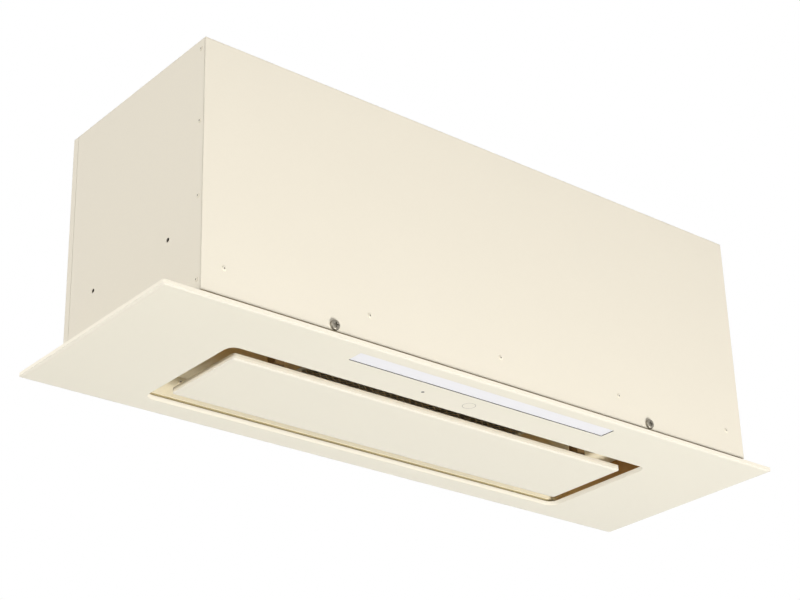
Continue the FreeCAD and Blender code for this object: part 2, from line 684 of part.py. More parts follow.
def hinge_arm(side):
    """An angle on the panel's tray whose neck rises to the pin: foot, web, neck and eye."""
    ear_start = "hinge_spread + 1"
    ear_x = on_side(side, ear_start, f"{ear_start} + hinge_sheet")
    foot_x = on_side(side, ear_start, "hinge_spread + 13")
    foot_front, web_front, neck_front, steel_rear = 26, 22, 8, 5
    arm = fuse(f"arm{side}",
               box(f"arm_foot{side}", foot_x, (f"{HINGE_Y} - {foot_front}", f"{HINGE_Y} - {steel_rear}"),
                   (PANEL_FLOOR, f"{PANEL_FLOOR} + 1.5")),
               box(f"arm_web{side}", ear_x, (f"{HINGE_Y} - {web_front}", f"{HINGE_Y} - {steel_rear}"),
                   (PANEL_FLOOR, "hinge_rise + 3")),
               box(f"arm_neck{side}", ear_x, (f"{HINGE_Y} - {neck_front}", HINGE_Y),
                   ("hinge_rise - hinge_eye_radius", "hinge_rise + hinge_eye_radius")),
               rod(f"arm_eye{side}", "hinge_eye_radius", (ear_x[0], HINGE_Y, "hinge_rise"),
                   "hinge_sheet", "x"))
    return drilled(f"arm_drilled{side}", arm, "hinge_pin_radius + running_gap",
                   [(ear_x[0], HINGE_Y, "hinge_rise")], "x", 8)


def hinge_bracket(side):
    """A bracket on the recess's back wall: a base, a plate that reaches forward and the pin's eye."""
    base_half, base_low, base_high, base_steel = 14, 14, 28, 1.5
    plate_x = on_side(side, "hinge_spread - 0.5 - hinge_sheet", "hinge_spread - 0.5")
    bracket = fuse(f"bracket{side}",
                   box(f"bracket_base{side}", on_side(side, f"hinge_spread - {base_half}",
                                                      f"hinge_spread + {base_half}"),
                       (f"{RECESS_REAR} - {base_steel}", RECESS_REAR), (base_low, base_high)),
                   box(f"bracket_plate{side}", plate_x, (HINGE_Y, RECESS_REAR),
                       ("hinge_rise + 0.5", 20)),
                   rod(f"bracket_eye{side}", "hinge_eye_radius", (plate_x[0], HINGE_Y, "hinge_rise"),
                       "hinge_sheet", "x"))
    holed = drilled(f"bracket_drilled{side}", bracket, "hinge_pin_radius",
                    [(plate_x[0], HINGE_Y, "hinge_rise")], "x", 8)
    return drilled(f"bracket_holed{side}", holed, "rivet_radius", bracket_screw_points(side), "y", 10)


def hinges():
    """Arms on the panel, brackets on the recess's back wall, pins, the brackets' screws and the catches."""
    node("hinge_arms", group("hinge_arm_pair", *[hinge_arm(side) for side in (-1, 1)]))
    node("hinge_brackets", group("hinge_bracket_pair", *[hinge_bracket(side) for side in (-1, 1)]))
    pin_radius = size("hinge_pin_radius")
    hinge_y = size("opening_shift") + size("panel_depth") / 2 + size("hinge_setback")
    pin_length, head_radius, head_height, inner_reach = 7.1, pin_radius + 1.2, 0.8, 3.3
    bracket_steel = 1.5
    stud = pan_screw(3, 1.8, size("rivet_radius"), 6)
    pins, screws = [], []
    for side in (-1, 1):
        start = Vector(side * (size("hinge_spread") - inner_reach), hinge_y, size("hinge_rise"))
        outward = Vector(side, 0, 0)
        pin = Part.makeCylinder(pin_radius, pin_length, start, outward)
        inner_head = Part.makeCylinder(head_radius, head_height, start - outward * head_height, outward)
        outer_head = Part.makeCylinder(head_radius, head_height, start + outward * pin_length, outward)
        pins.append(pin.fuse([inner_head, outer_head]).removeSplitter())
        for end in (-1, 1):
            screw_x = side * size("hinge_spread") + end * size("bracket_screw_shift")
            seat = Vector(screw_x, recess_rear_y - bracket_steel, size("bracket_screw_rise"))
            screws.append(placed(stud, seat, FORWARD))
    made("hinge_pins", Part.makeCompound(pins))
    made("bracket_screws", Part.makeCompound(screws))
    half_depth, over_floor = 7, 2.3
    posts = [box(f"catch_post{side}", on_side(side, "hinge_spread - 3", "hinge_spread + 9"),
                 (CATCH_Y - half_depth, CATCH_Y + half_depth),
                 (f"{PANEL_FLOOR} + {over_floor}", "recess_height")) for side in (-1, 1)]
    node("magnetic_catches", group("magnetic_catch_pair", *posts))


# ---------------------------------------------------------------- grease filter

def grease_filter():
    """The filter's frame with its rear tabs and latch guide, its mesh, the sliding latch and the spring."""
    low, high = "recess_height", "recess_height + filter_thickness"
    front, rear = "opening_shift - filter_depth / 2", "opening_shift + filter_depth / 2"
    ring = cut("filter_ring",
               box("filter_block", across("filter_width / 2"), (front, rear), (low, high)),
               box("filter_void", across("filter_width / 2 - filter_wall"),
                   (f"{front} + filter_wall", f"{rear} - filter_wall"), (0, "recess_height + 20")))
    tabs = [box(f"filter_tab{side}", on_side(side, 60, 90), (f"{rear} - 1", f"{rear} + 5.5"),
                (f"{low} + 1.3", f"{low} + 2.8")) for side in (-1, 1)]
    guide_y = (f"{front} + filter_wall - 0.5", f"{front} + 33")
    guide = [box("guide_roof", across(14), guide_y, (f"{low} + 3.7", f"{low} + 4.7")),
             box("guide_end", across(14), (f"{front} + 32", f"{front} + 33"),
                 (f"{low} + 0.3", f"{low} + 4.7"))]
    for side in (-1, 1):
        guide.append(box(f"guide_cheek{side}", on_side(side, 12.4, 14), guide_y,
                         (f"{low} + 0.3", f"{low} + 4.7")))
        guide.append(box(f"guide_lip{side}", on_side(side, 9, 14), guide_y,
                         (f"{low} + 0.3", f"{low} + 0.9")))
    slot = box("latch_slot", across(12.3), (f"{front} - 1", f"{front} + filter_wall + 1"),
               (f"{low} + 1", f"{low} + 3.6"))
    node("filter_frame", cut("filter_frame_cut", fuse("filter_joined", ring, *tabs, *guide), slot))

    half_x = size("filter_width") / 2 - size("filter_wall")
    near = size("opening_shift") - size("filter_depth") / 2 + size("filter_wall")
    deep = size("filter_depth") - 2 * size("filter_wall")
    level = size("recess_height") + 1
    notch_x, notch_y = 14, near + 27
    corners = [(-half_x, near), (-notch_x, near), (-notch_x, notch_y), (notch_x, notch_y), (notch_x, near),
               (half_x, near), (half_x, near + deep), (-half_x, near + deep)]
    outline = [Vector(x, y, level) for x, y in corners]
    columns, rows, strand = 28, 10, 1.6
    pitch_x, pitch_y = 2 * half_x / columns, deep / rows
    reach_x, reach_y = (pitch_x - strand) / 2, (pitch_y - strand) / 2
    holes = []
    for column in range(columns):
        for line in range(rows):
            x = -half_x + (column + 0.5) * pitch_x
            y = near + (line + 0.5) * pitch_y
            if abs(x) < notch_x + reach_x + 1 and y < notch_y + reach_y + 1:
                continue
            diamond = [Vector(x - reach_x, y, level), Vector(x, y - reach_y, level),
                       Vector(x + reach_x, y, level), Vector(x, y + reach_y, level)]
            holes.append(Part.Face(Part.makePolygon(diamond + diamond[:1])))
    net = Part.Face(Part.makePolygon(outline + outline[:1])).cut(Part.makeCompound(holes))
    made("filter_mesh", net.Faces[0].extrude(UP))

    bolt_reach, bolt_end = 7, 20
    bolt = box("latch_bolt", across(12), (f"{front} - {bolt_reach}", f"{front} + {bolt_end}"),
               (f"{low} + 1.3", f"{low} + 3.3"))
    tab = box("latch_tab", across(8), (f"{front} + 16", f"{front} + 18"), (f"{low} - 6.5", f"{low} + 2"))
    node("filter_latch", fuse("latch_joined", bolt, tab))
    spring_start = near - size("filter_wall") + bolt_end + 0.4
    spring_length = 11.2
    wire_radius, coil_radius, turns = 0.25, 0.9, 6
    helix = Part.makeHelix(spring_length / turns, spring_length, coil_radius)
    section = Part.Wire(Part.makeCircle(wire_radius, Vector(coil_radius, 0, 0), Vector(0, 1, 0)))
    coil = Part.Wire(helix).makePipeShell([section], True, False)
    turn = FreeCAD.Rotation(Vector(0, 0, 1), BACKWARD)
    coil.Placement = FreeCAD.Placement(Vector(0, spring_start, size("recess_height") + 2.3), turn)
    made("latch_spring", coil)


# ---------------------------------------------------------------- blower

wheel_y = size("outlet_shift") + size("scroll_width") / 2 - size("scroll_radius") - size("wheel_shift")
wheel_z = size("scroll_rise") - size("wheel_drop")
BOSS_RADIUS, BOSS_HEIGHT = 5, 12


def scroll_outline(rise):
    """The scroll seen along x: three quarter turns of falling radius, then the outlet up to a height."""
    radius, step = size("scroll_radius"), size("scroll_step")
    shift, half = size("outlet_shift"), size("scroll_width") / 2
    centre_y, centre_z = shift + half - radius, size("scroll_rise")
    shoulder = top_z - 16
    pieces = []
    turns = ((0, 0, step), (-90, step, 0), (-180, 0, 0))
    for start_angle, next_y, next_z in turns:
        angles = [math.radians(start_angle - turn) for turn in (0, 45, 90)]
        points = [Vector(0, centre_y + radius * math.cos(angle), centre_z + radius * math.sin(angle))
                  for angle in angles]
        pieces.append(Part.Arc(*points).toShape())
        centre_y -= next_y
        centre_z -= next_z
        radius -= step
    corners = [points[-1], Vector(0, shift - half, shoulder), Vector(0, shift - half, rise),
               Vector(0, shift + half, rise), Vector(0, shift + half, size("scroll_rise"))]
    pieces += [Part.makeLine(start, end) for start, end in zip(corners, corners[1:])]
    return Part.Face(Part.Wire(Part.__sortEdges__(pieces)))


def boss_places():
    """Where the scroll's halves are screwed together: y, z."""
    boss_gap, throat_boss_rise = 4, 95
    radius = size("scroll_radius") + boss_gap
    throat = size("outlet_shift") + size("scroll_width") / 2
    centre_y, centre_z = throat - size("scroll_radius"), size("scroll_rise")
    step = size("scroll_step")
    places = [(throat + boss_gap, centre_z + throat_boss_rise)]
    for angle, drop_y, drop_z, shrink in ((-35, 0, 0, 0), (-130, 0, step, step), (140, step, step, 2 * step)):
        turn = math.radians(angle)
        reach = radius - shrink
        places.append((centre_y - drop_y + reach * math.cos(turn),
                       centre_z - drop_z + reach * math.sin(turn)))
    return places


def spider_feet():
    """Where the motor's spider is screwed to the casing: y, z."""
    reach = size("inlet_radius") + 16
    turns = [math.radians(angle) for angle in (90, 210, 330)]
    return [(wheel_y + reach * math.cos(turn), wheel_z + reach * math.sin(turn)) for turn in turns]


def volute_half(name, side):
    """Half of the blower's casing: a side wall with an inlet, half of the rim and of the outlet flange."""
    wall, half = size("scroll_wall"), size("scroll_width") / 2
    rise = top_z - size("steel")
    shell = scroll_outline(rise).extrude(Vector(side * half, 0, 0))
    rim_depth, rim_height = size("outlet_rim") - 1, 3
    low_x = 0 if side > 0 else -rim_depth
    rim_y = size("outlet_shift") - rim_depth
    shell = shell.fuse(Part.makeBox(rim_depth, 2 * rim_depth, rim_height,
                                    Vector(low_x, rim_y, rise - rim_height)))
    bosses = [Part.makeCylinder(BOSS_RADIUS, BOSS_HEIGHT, Vector(0, y, z), Vector(side, 0, 0))
              for y, z in boss_places()]
    shell = shell.fuse(bosses)
    hollow = scroll_outline(rise + 2 * wall).makeOffset2D(-wall)
    shell = shell.cut(hollow.extrude(Vector(side * (half - wall), 0, 0)))
    shell = shell.cut(Part.makeCylinder(size("inlet_radius"), 2 * half,
                                        Vector(-half + side * half, wheel_y, wheel_z), RIGHT))
    hole_radius = size("case_screw_radius") + size("case_screw_gap")
    holes = [Part.makeCylinder(hole_radius, 30, Vector(-15, y, z), RIGHT) for y, z in boss_places()]
    circle, shift = size("outlet_screw_circle"), size("outlet_shift")
    for x, y in ((side * circle, shift), (0, shift + circle), (0, shift - circle)):
        holes.append(Part.makeCylinder(hole_radius, 20, Vector(x, y, rise - 10)))
    if side > 0:
        holes += [Part.makeCylinder(hole_radius, 20, Vector(half - 10, y, z), RIGHT)
                  for y, z in spider_feet()]
    made(name, shell.cut(holes).removeSplitter())


def inlet_ring(name, side):
    """A bell-mouthed ring on the casing's inlet."""
    half = size("scroll_width") / 2
    radius = size("inlet_radius")
    outward = Vector(side, 0, 0)
    seat = Vector(side * half, wheel_y, wheel_z)
    flange = Part.makeCylinder(radius + 8, 2, seat, outward)
    neck = Part.makeCylinder(radius, 11, seat - outward * 9, outward)
    mouth = Part.makeCone(radius - 5, radius - 1.5, 11, seat - outward * 9, outward)
    made(name, flange.fuse(neck).cut(mouth).removeSplitter())


def impeller():
    """A double-inlet wheel: a hub on a middle disc, forward-curved blades and two end rings."""
    radius, half = size("wheel_radius"), size("wheel_width") / 2
    inner = radius - 12
    centre = Vector(0, wheel_y, wheel_z)
    disc = Part.makeCylinder(radius, 2, centre - RIGHT, RIGHT)
    hub = Part.makeCylinder(10, 16, centre - RIGHT * 8, RIGHT)
    rings = []
    for start in (-half, half - 2):
        ring = Part.makeCylinder(radius, 2, centre + RIGHT * start, RIGHT)
        rings.append(ring.cut(Part.makeCylinder(inner, 2, centre + RIGHT * start, RIGHT)))
    blades = []

    def on_wheel(reach, degrees):
        turn = math.radians(degrees)
        return Vector(-half, wheel_y + reach * math.cos(turn), wheel_z + reach * math.sin(turn))

    for number in range(BLADE_COUNT):
        first = number * 360 / BLADE_COUNT
        front = Part.Arc(on_wheel(inner, first), on_wheel((inner + radius) / 2, first + 1.5),
                         on_wheel(radius, first + 6)).toShape()
        back = Part.Arc(on_wheel(inner, first + 1), on_wheel((inner + radius) / 2, first + 2.5),
                        on_wheel(radius, first + 7)).toShape()
        foot = Part.makeLine(on_wheel(inner, first), on_wheel(inner, first + 1))
        tip = Part.makeLine(on_wheel(radius, first + 6), on_wheel(radius, first + 7))
        outline = Part.Wire(Part.__sortEdges__([front, tip, back, foot]))
        blades.append(Part.Face(outline).extrude(Vector(2 * half, 0, 0)))
    wheel = disc.fuse([hub] + rings + blades)
    bore = Part.makeCylinder(size("shaft_radius"), 40, centre - RIGHT * 20, RIGHT)
    made("impeller", wheel.cut(bore))


def ring_on_shaft(outer, inner, start, length):
    """A collar round the blower's axis."""
    centre = Vector(start, wheel_y, wheel_z)
    bore = Part.makeCylinder(inner, length, centre, RIGHT)
    return Part.makeCylinder(outer, length, centre, RIGHT).cut(bore)


def motor():
    """The motor inside the wheel's right half, and the spider that holds it at the right inlet."""
    shaft = size("shaft_radius")
    shaft_start, shaft_length, case_radius, case_wall, bearing_radius = -12, 83, 39, 2, 9
    inner_radius = case_radius - case_wall
    made("motor_shaft", Part.makeCylinder(shaft, shaft_length, Vector(shaft_start, wheel_y, wheel_z), RIGHT))
    stack_start, stack_length, winding_length = 29, 26, 5
    rotor_start, rotor_radius, air_gap = stack_start - winding_length, 21, 1
    made("motor_rotor", ring_on_shaft(rotor_radius, shaft, rotor_start, stack_length + 2 * winding_length))
    made("motor_stator", ring_on_shaft(inner_radius, rotor_radius + air_gap, stack_start, stack_length))
    winding_outer, winding_inner = 35, 24
    windings = [ring_on_shaft(winding_outer, winding_inner, start, winding_length)
                for start in (rotor_start, stack_start + stack_length)]
    made("motor_windings", Part.makeCompound(windings))
    case_start, case_length, end_wall = 14, 61, 7
    case = ring_on_shaft(case_radius, inner_radius, case_start + case_wall, case_length - case_wall)
    case = case.fuse([ring_on_shaft(case_radius, bearing_radius, case_start, case_wall),
                      ring_on_shaft(inner_radius, bearing_radius, case_start + case_wall,
                                    end_wall - case_wall)])
    made("motor_case", case.removeSplitter())
    bearings = [ring_on_shaft(bearing_radius, shaft + size("running_gap"), start, 7)
                for start in (case_start, 62)]
    made("motor_bearings", Part.makeCompound(bearings))
    seat_x = size("scroll_width") / 2
    plug_start, plug_length, neck_outer, neck_inner = 61, 8, 30, 24
    arm_start, foot_height, arm_width, arm_steel = 30, 5.4, 14, 3
    neck_start = plug_start + plug_length
    plug = ring_on_shaft(inner_radius, bearing_radius, plug_start, plug_length)
    plug = plug.fuse(ring_on_shaft(neck_outer, neck_inner, neck_start, seat_x - neck_start))
    bracket = plug.fuse(Part.makeCylinder(case_radius, arm_steel, Vector(seat_x, wheel_y, wheel_z), RIGHT))
    axis = Vector(seat_x, wheel_y, wheel_z)
    spider_screw, case_screw = 9, 22
    screws = []
    for y, z in spider_feet():
        foot_centre = Vector(seat_x, y, z)
        run = foot_centre - axis
        arm = Part.makeBox(arm_steel, run.Length - arm_start, arm_width,
                           Vector(foot_height - arm_steel, arm_start, -arm_width / 2))
        turn = FreeCAD.Rotation(RIGHT, math.degrees(math.atan2(run.z, run.y)))
        arm.Placement = FreeCAD.Placement(axis, turn)
        bracket = bracket.fuse([arm, Part.makeCylinder(7, foot_height, foot_centre, RIGHT)])
        hole_radius = size("case_screw_radius") + size("case_screw_gap")
        bracket = bracket.cut(Part.makeCylinder(hole_radius, 20, foot_centre - RIGHT * 5, RIGHT))
        screws.append((foot_centre + RIGHT * foot_height, spider_screw))
    made("motor_bracket", bracket.removeSplitter())
    screws += [(Vector(BOSS_HEIGHT, y, z), case_screw) for y, z in boss_places()]
    made("blower_screws", Part.makeCompound([
        placed(pan_screw(3.5, 2.4, size("case_screw_radius"), length), seat, RIGHT)
        for seat, length in screws]))


# ---------------------------------------------------------------- electrics

BOX_FAR_X, BOX_LOW_Z, BOX_HIGH_Z = -320, 210, 298
BOX_Y = (-60, 80)


def control_box():
    """The box for the electronics on the left wall, its lid, board, terminals and the cable's gland."""
    inner_side = -side_x + size("steel")
    wall = 1.5
    shell = cut("control_shell",
                box("control_block", (f"-({SIDE} - steel)", BOX_FAR_X), BOX_Y, (BOX_LOW_Z, BOX_HIGH_Z)),
                box("control_void", (f"-({SIDE} - steel) + {wall}", BOX_FAR_X + 1),
                    (BOX_Y[0] + wall, BOX_Y[1] - wall), (BOX_LOW_Z + wall, BOX_HIGH_Z - wall)),
                rod("control_entry", "gland_radius", ("gland_x", "gland_y", BOX_HIGH_Z - 4), 8))
    node("control_box", shell)
    node("control_lid", box("control_lid_sheet", (BOX_FAR_X, BOX_FAR_X + 1), BOX_Y, (BOX_LOW_Z, BOX_HIGH_Z)))
    board_x = inner_side + 12
    parts = [box("board_sheet", (board_x, board_x + 1.6), (-52, 40), (220, 288)),
             box("board_relay", (board_x + 1.6, board_x + 17), (-44, -26), (230, 250)),
             box("board_supply", (board_x + 1.6, board_x + 24), (-14, 14), (228, 256)),
             box("board_socket", (board_x + 1.6, board_x + 12), (22, 36), (226, 280))]
    parts += [box(f"board_stand{y}_{z}", (inner_side + wall, board_x), (y, y + 5), (z, z + 5))
              for y in (-50, 32) for z in (222, 280)]
    node("circuit_board", fuse("circuit_board_joined", *parts))
    block = box("terminal_bar", (inner_side + wall, inner_side + 20), (44, 78), (222, 238))
    wire_holes = [(inner_side + 11, y, 238) for y in (50, 61, 72)]
    node("terminal_block", drilled("terminal_block_drilled", block, 2, wire_holes, "z", 10))
    entry = ("gland_x", "gland_y")
    gland = fuse("gland_joined",
                 rod("gland_head", "gland_radius + 4", (*entry, TOP), 8),
                 rod("gland_neck", "gland_radius", (*entry, BOX_HIGH_Z - 1.5), f"{TOP} - {BOX_HIGH_Z} + 2"),
                 rod("gland_barb", "gland_radius + 0.8", (*entry, BOX_HIGH_Z - 6.5), 5))
    node("cable_gland", drilled("gland_drilled", gland, "cable_radius", [(*entry, TOP)], "z", 60))


def light_driver_and_capacitor():
    """The light's driver and the motor's run capacitor, both on the recess's ceiling."""
    floor = "recess_height + steel"
    node("light_driver", fuse("light_driver_joined",
                              box("driver_case", (-265, -195), (-112, -82), (floor, f"{floor} + 20")),
                              box("driver_foot", (-272, -188), (-106, -88), (floor, f"{floor} + 2"))))
    barrel = rod("capacitor_barrel", 16, (110, -106, f"{floor} + 17"), 58, "x")
    clip = box("capacitor_clip", (128, 144), (-112, -100), (floor, f"{floor} + 4"))
    node("run_capacitor", fuse("capacitor_joined", barrel, clip))


def tube_along(points, diameter):
    """A lead of that diameter along straight runs joined by tangent arcs, each as large as its runs allow."""
    corners = [Vector(*point) for point in points]
    edges, radii = [], []
    here = corners[0]
    for before, corner, after in zip(corners, corners[1:], corners[2:]):
        into, out = (corner - before), (after - corner)
        shorter = min(into.Length, out.Length)
        half_turn = into.getAngle(out) / 2
        radius = 0.45 * shorter / math.tan(half_turn)
        radii.append(radius)
        trim = radius * math.tan(half_turn)
        into.normalize()
        out.normalize()
        start, end = corner - into * trim, corner + out * trim
        inward = out - into
        inward.normalize()
        middle = corner + inward * (radius / math.cos(half_turn) - radius)
        edges.append(Part.makeLine(here, start))
        edges.append(Part.Arc(start, middle, end).toShape())
        here = end
    edges.append(Part.makeLine(here, corners[-1]))
    path = Part.Wire(edges)
    first = corners[1] - corners[0]
    section = Part.Wire(Part.makeCircle(diameter / 2, corners[0], first))
    tube = path.makePipeShell([section], True, False)
    wanted = math.pi * diameter ** 2 / 4 * path.Length
    print(f"lead of {path.Length:.0f} mm, least radius {min(radii):.1f}, "
          f"volume ratio {tube.Volume / wanted:.4f}")
    return tube


def leads():
    """The two leads that the hood holds all the way: control box to motor, control box to light driver."""
    diameter = 5
    lid_x = BOX_FAR_X + 1
    made("motor_lead", tube_along([
        (lid_x, 60, 240), (-280, 64, 242), (-200, 104, 252), (60, 108, 254), (125, 80, 215), (130, 10, 175),
        (112, wheel_y, wheel_z), (78, wheel_y, wheel_z)], diameter))
    made("light_lead", tube_along([
        (-352, -30, BOX_LOW_Z), (-352, -34, 150), (-330, -80, 70), (-292, -97, 44),
        (-265, -97, 42)], diameter))


# ---------------------------------------------------------------- air outlet and its damper

def outlet_collar():
    """The round spigot a 150 mm duct goes over, with a ledge that the two damper flaps shut on."""
    centre = ("0", "outlet_shift")
    bore = "outlet_radius - outlet_wall"
    pin_z = f"{TOP} + damper_rise"
    body = fuse("collar_joined",
                rod("collar_tube", "outlet_radius", (*centre, TOP), "outlet_height"),
                rod("collar_rim", "outlet_rim", (*centre, TOP), 2))
    upper = rod("collar_upper_bore", bore, (*centre, f"{pin_z} - 2.5"), "outlet_height")
    middle = rod("collar_ledge_bore", f"{bore} - 3.5", (*centre, f"{TOP} - 1"), "outlet_height")
    lower = rod("collar_lower_bore", f"{bore}", (*centre, f"{TOP} - 1"), "damper_rise - 3.5")
    open_collar = cut("collar_open", body, upper, middle, lower)
    with_pin_hole = drilled("collar_with_pin_hole", open_collar, "damper_pin_radius",
                            [("0", "outlet_shift", pin_z)], "x", 200)
    node("outlet_collar", drilled("collar_drilled", with_pin_hole, "outlet_screw_hole",
                                  outlet_screw_points(TOP), "z", 10))
    node("damper_pin", rod("damper_pin_rod", "damper_pin_radius", ("-outlet_radius", "outlet_shift", pin_z),
                           "2 * outlet_radius", "x"))
    screw = pan_screw(3.6, 2.2, size("case_screw_radius"), 7)
    circle, shift = size("outlet_screw_circle"), size("outlet_shift")
    places = ((circle, shift), (-circle, shift), (0, shift + circle), (0, shift - circle))
    made("collar_screws", Part.makeCompound([placed(screw, Vector(x, y, top_z + 2), UP) for x, y in places]))


def damper_flap(name, side, knuckle_starts):
    """A half-round flap on the damper pin: side -1 is the front one, side 1 the rear one."""
    pin_z = f"{TOP} + damper_rise"
    reach, knuckle_length = 70.8, 12
    plate_z = (f"{pin_z} - 2.2", f"{pin_z} - 1")
    disc = rod(f"{name}_disc", reach, ("0", "outlet_shift", plate_z[0]), 1.2)
    gap = 3.5
    limits = (f"outlet_shift + {gap}", f"outlet_shift + {reach}")
    if side < 0:
        limits = (f"outlet_shift - {reach}", f"outlet_shift - {gap}")
    half = doc.addObject("Part::Common", f"{name}_half")
    half.Base = disc
    half.Tool = box(f"{name}_keep", across(reach), limits, plate_z)
    pieces = [half]
    tab_y = ("outlet_shift", f"outlet_shift + {gap + 1}")
    if side < 0:
        tab_y = (f"outlet_shift - {gap + 1}", "outlet_shift")
    for number, start in enumerate(knuckle_starts):
        pieces.append(box(f"{name}_tab{number}", (start, start + knuckle_length), tab_y, plate_z))
        pieces.append(rod(f"{name}_knuckle{number}", 3, (start, "outlet_shift", pin_z), knuckle_length, "x"))
    node(name, drilled(f"{name}_drilled", fuse(f"{name}_joined", *pieces), "damper_pin_radius + running_gap",
                       [("0", "outlet_shift", pin_z)], "x", 160))


# ---------------------------------------------------------------- build, check and write


glass_panel()
bonding_tape()
cabinet_seal()
light_and_key()
carrier_frame()
recess_tray()
front_panel()
side_panel("left_side_panel", -1)
side_panel("right_side_panel", 1)
rear_panel()
top_panel()
box_fasteners()
suction_panel()
hinges()
grease_filter()
volute_half("volute_left", -1)
volute_half("volute_right", 1)
inlet_ring("inlet_ring_left", -1)
inlet_ring("inlet_ring_right", 1)
impeller()
motor()
control_box()
light_driver_and_capacitor()
leads()
outlet_collar()
damper_flap("damper_flap_front", -1, (-56, 22))
damper_flap("damper_flap_rear", 1, (-34, 44))
doc.recompute()

faults = [f"{thing.Name}: {thing.State}" for thing in doc.Objects
          if "Invalid" in thing.State or "Error" in thing.State]
faults += [name for name, thing in NODES.items() if thing.Shape.isNull() or not thing.Shape.isValid()]
if faults:
    raise RuntimeError(f"faulty pieces: {faults}")

os.makedirs("parts", exist_ok=True)
for name, thing in NODES.items():
    thing.Shape.exportStep(f"parts/{name}.step")
    bounds = thing.Shape.BoundBox
    print(f"{name}: {len(thing.Shape.Solids)} solid(s), {thing.Shape.Volume / 1000:.1f} cm3, "
          f"x {bounds.XMin:.1f} to {bounds.XMax:.1f}, y {bounds.YMin:.1f} to {bounds.YMax:.1f}, "
          f"z {bounds.ZMin:.1f} to {bounds.ZMax:.1f}")
print(f"{len(NODES)} nodes")
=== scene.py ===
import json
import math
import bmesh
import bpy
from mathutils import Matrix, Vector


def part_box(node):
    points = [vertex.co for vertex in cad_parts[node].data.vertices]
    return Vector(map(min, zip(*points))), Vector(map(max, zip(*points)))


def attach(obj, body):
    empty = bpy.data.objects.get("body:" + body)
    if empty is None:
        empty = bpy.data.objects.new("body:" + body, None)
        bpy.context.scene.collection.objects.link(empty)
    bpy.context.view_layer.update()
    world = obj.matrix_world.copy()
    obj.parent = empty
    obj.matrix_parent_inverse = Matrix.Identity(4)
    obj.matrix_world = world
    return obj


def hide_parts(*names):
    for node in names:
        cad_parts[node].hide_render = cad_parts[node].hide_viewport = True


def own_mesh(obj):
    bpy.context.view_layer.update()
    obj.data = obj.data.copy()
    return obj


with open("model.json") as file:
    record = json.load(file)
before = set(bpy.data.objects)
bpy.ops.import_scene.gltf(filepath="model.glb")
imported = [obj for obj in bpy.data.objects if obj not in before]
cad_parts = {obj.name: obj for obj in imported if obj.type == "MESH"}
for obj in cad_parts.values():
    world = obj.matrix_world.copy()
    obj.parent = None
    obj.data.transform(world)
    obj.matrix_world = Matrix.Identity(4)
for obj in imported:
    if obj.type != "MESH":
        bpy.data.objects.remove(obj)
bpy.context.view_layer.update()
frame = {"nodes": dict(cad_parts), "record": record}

# %% [markdown]
# The hood is a painted steel box that stands up inside a kitchen cabinet. Only the flange under it is
# seen in use: a sheet of back-painted glass with a light window, a touch key and a recess. A suction
# panel closes the recess but for an even slot, and the air goes in through that slot. The construction
# comes from the CAD frame, so this lesson gives it its looks: paints, glass, metals, an expanded filter
# mesh, a wound spring, rivets, light and camera.

cad_nodes = frame["nodes"]
millimetre = 0.001

# %% [markdown]
# Paint is chosen from a chart whose numbers run from 0 to 255, but light adds up in linear values, and so
# do Blender's colours. One small helper turns the first into the second, and a second one sets up a
# shader node in a single line: it takes the node's settings and what goes into each of its sockets, by
# the socket's identifier. Mixing two colours, carrying a number from one range to another and starting a
# tree come up all the time, so they get helpers of their own.

# %% Helpers for colours and shader nodes
def chart(red, green, blue):
    """A paint chart's colour as linear light."""
    def one(value):
        share = value / 255
        return share / 12.92 if share <= 0.04045 else ((share + 0.055) / 1.055) ** 2.4
    return one(red), one(green), one(blue)


def shader(material, kind, settings=None, **inputs):
    """Adds a node to a material or world. An input is a number, a colour or another node's output."""
    tree = material.node_tree
    made = tree.nodes.new(kind)
    for key, value in (settings or {}).items():
        setattr(made, key, value)
    for name, value in inputs.items():
        socket = next(s for s in made.inputs if s.identifier in (name, name.replace("_", " ")))
        if isinstance(value, bpy.types.NodeSocket):
            tree.links.new(value, socket)
        else:
            socket.default_value = value
    return made


def mixed(material, share, first, second):
    """The colour that lies a share of the way from the first colour to the second."""
    made = shader(material, "ShaderNodeMix", {"data_type": "RGBA"}, Factor_Float=share, A_Color=first,
                  B_Color=second)
    return next(s for s in made.outputs if s.identifier == "Result_Color")


def mapped(material, value, low, high, at_low, at_high):
    """A number carried over from the range low to high to the range at_low to at_high."""
    return shader(material, "ShaderNodeMapRange", Value=value, From_Min=low, From_Max=high, To_Min=at_low,
                  To_Max=at_high).outputs[0]


def emptied(owner):
    """A material or world that starts from an empty node tree."""
    owner.use_nodes = True
    owner.node_tree.nodes.clear()
    return owner


print("cream as light:", [round(value, 3) for value in chart(236, 227, 207)])

# %% [markdown]
# Every finish on this hood has the same make-up. A broad cloudiness comes from how the coat dried and
# from handling, and a fine grain from the coat itself; both move the colour and the gloss a little. The
# grain also stands proud by some hundredths of a millimetre. A formed edge is never knife-sharp: the
# Bevel node rounds it for the light, and where that rounding turns the surface, the coat is thinner and
# rubbed, so the colour changes there. One recipe with named sizes serves all of them, and each finish
# below says what is its own.

# %% Clouds and grain
noise_low, noise_high = 0.3, 0.7
print("most of a noise lies between", noise_low, "and", noise_high)


def patterns(material, cloud_size, grain_size, brushed):
    """A broad cloudiness and a fine grain; brushed stretches the grain along an axis."""
    place = shader(material, "ShaderNodeTexCoord").outputs["Object"]
    drawn = shader(material, "ShaderNodeMapping", Vector=place, Scale=brushed).outputs[0]
    clouds = shader(material, "ShaderNodeTexNoise", Vector=place, Scale=1 / cloud_size, Detail=4.0,
                    Roughness=0.6).outputs[0]
    grains = shader(material, "ShaderNodeTexNoise", Vector=drawn, Scale=1 / grain_size, Detail=3.0,
                    Roughness=0.55).outputs[0]
    return clouds, grains


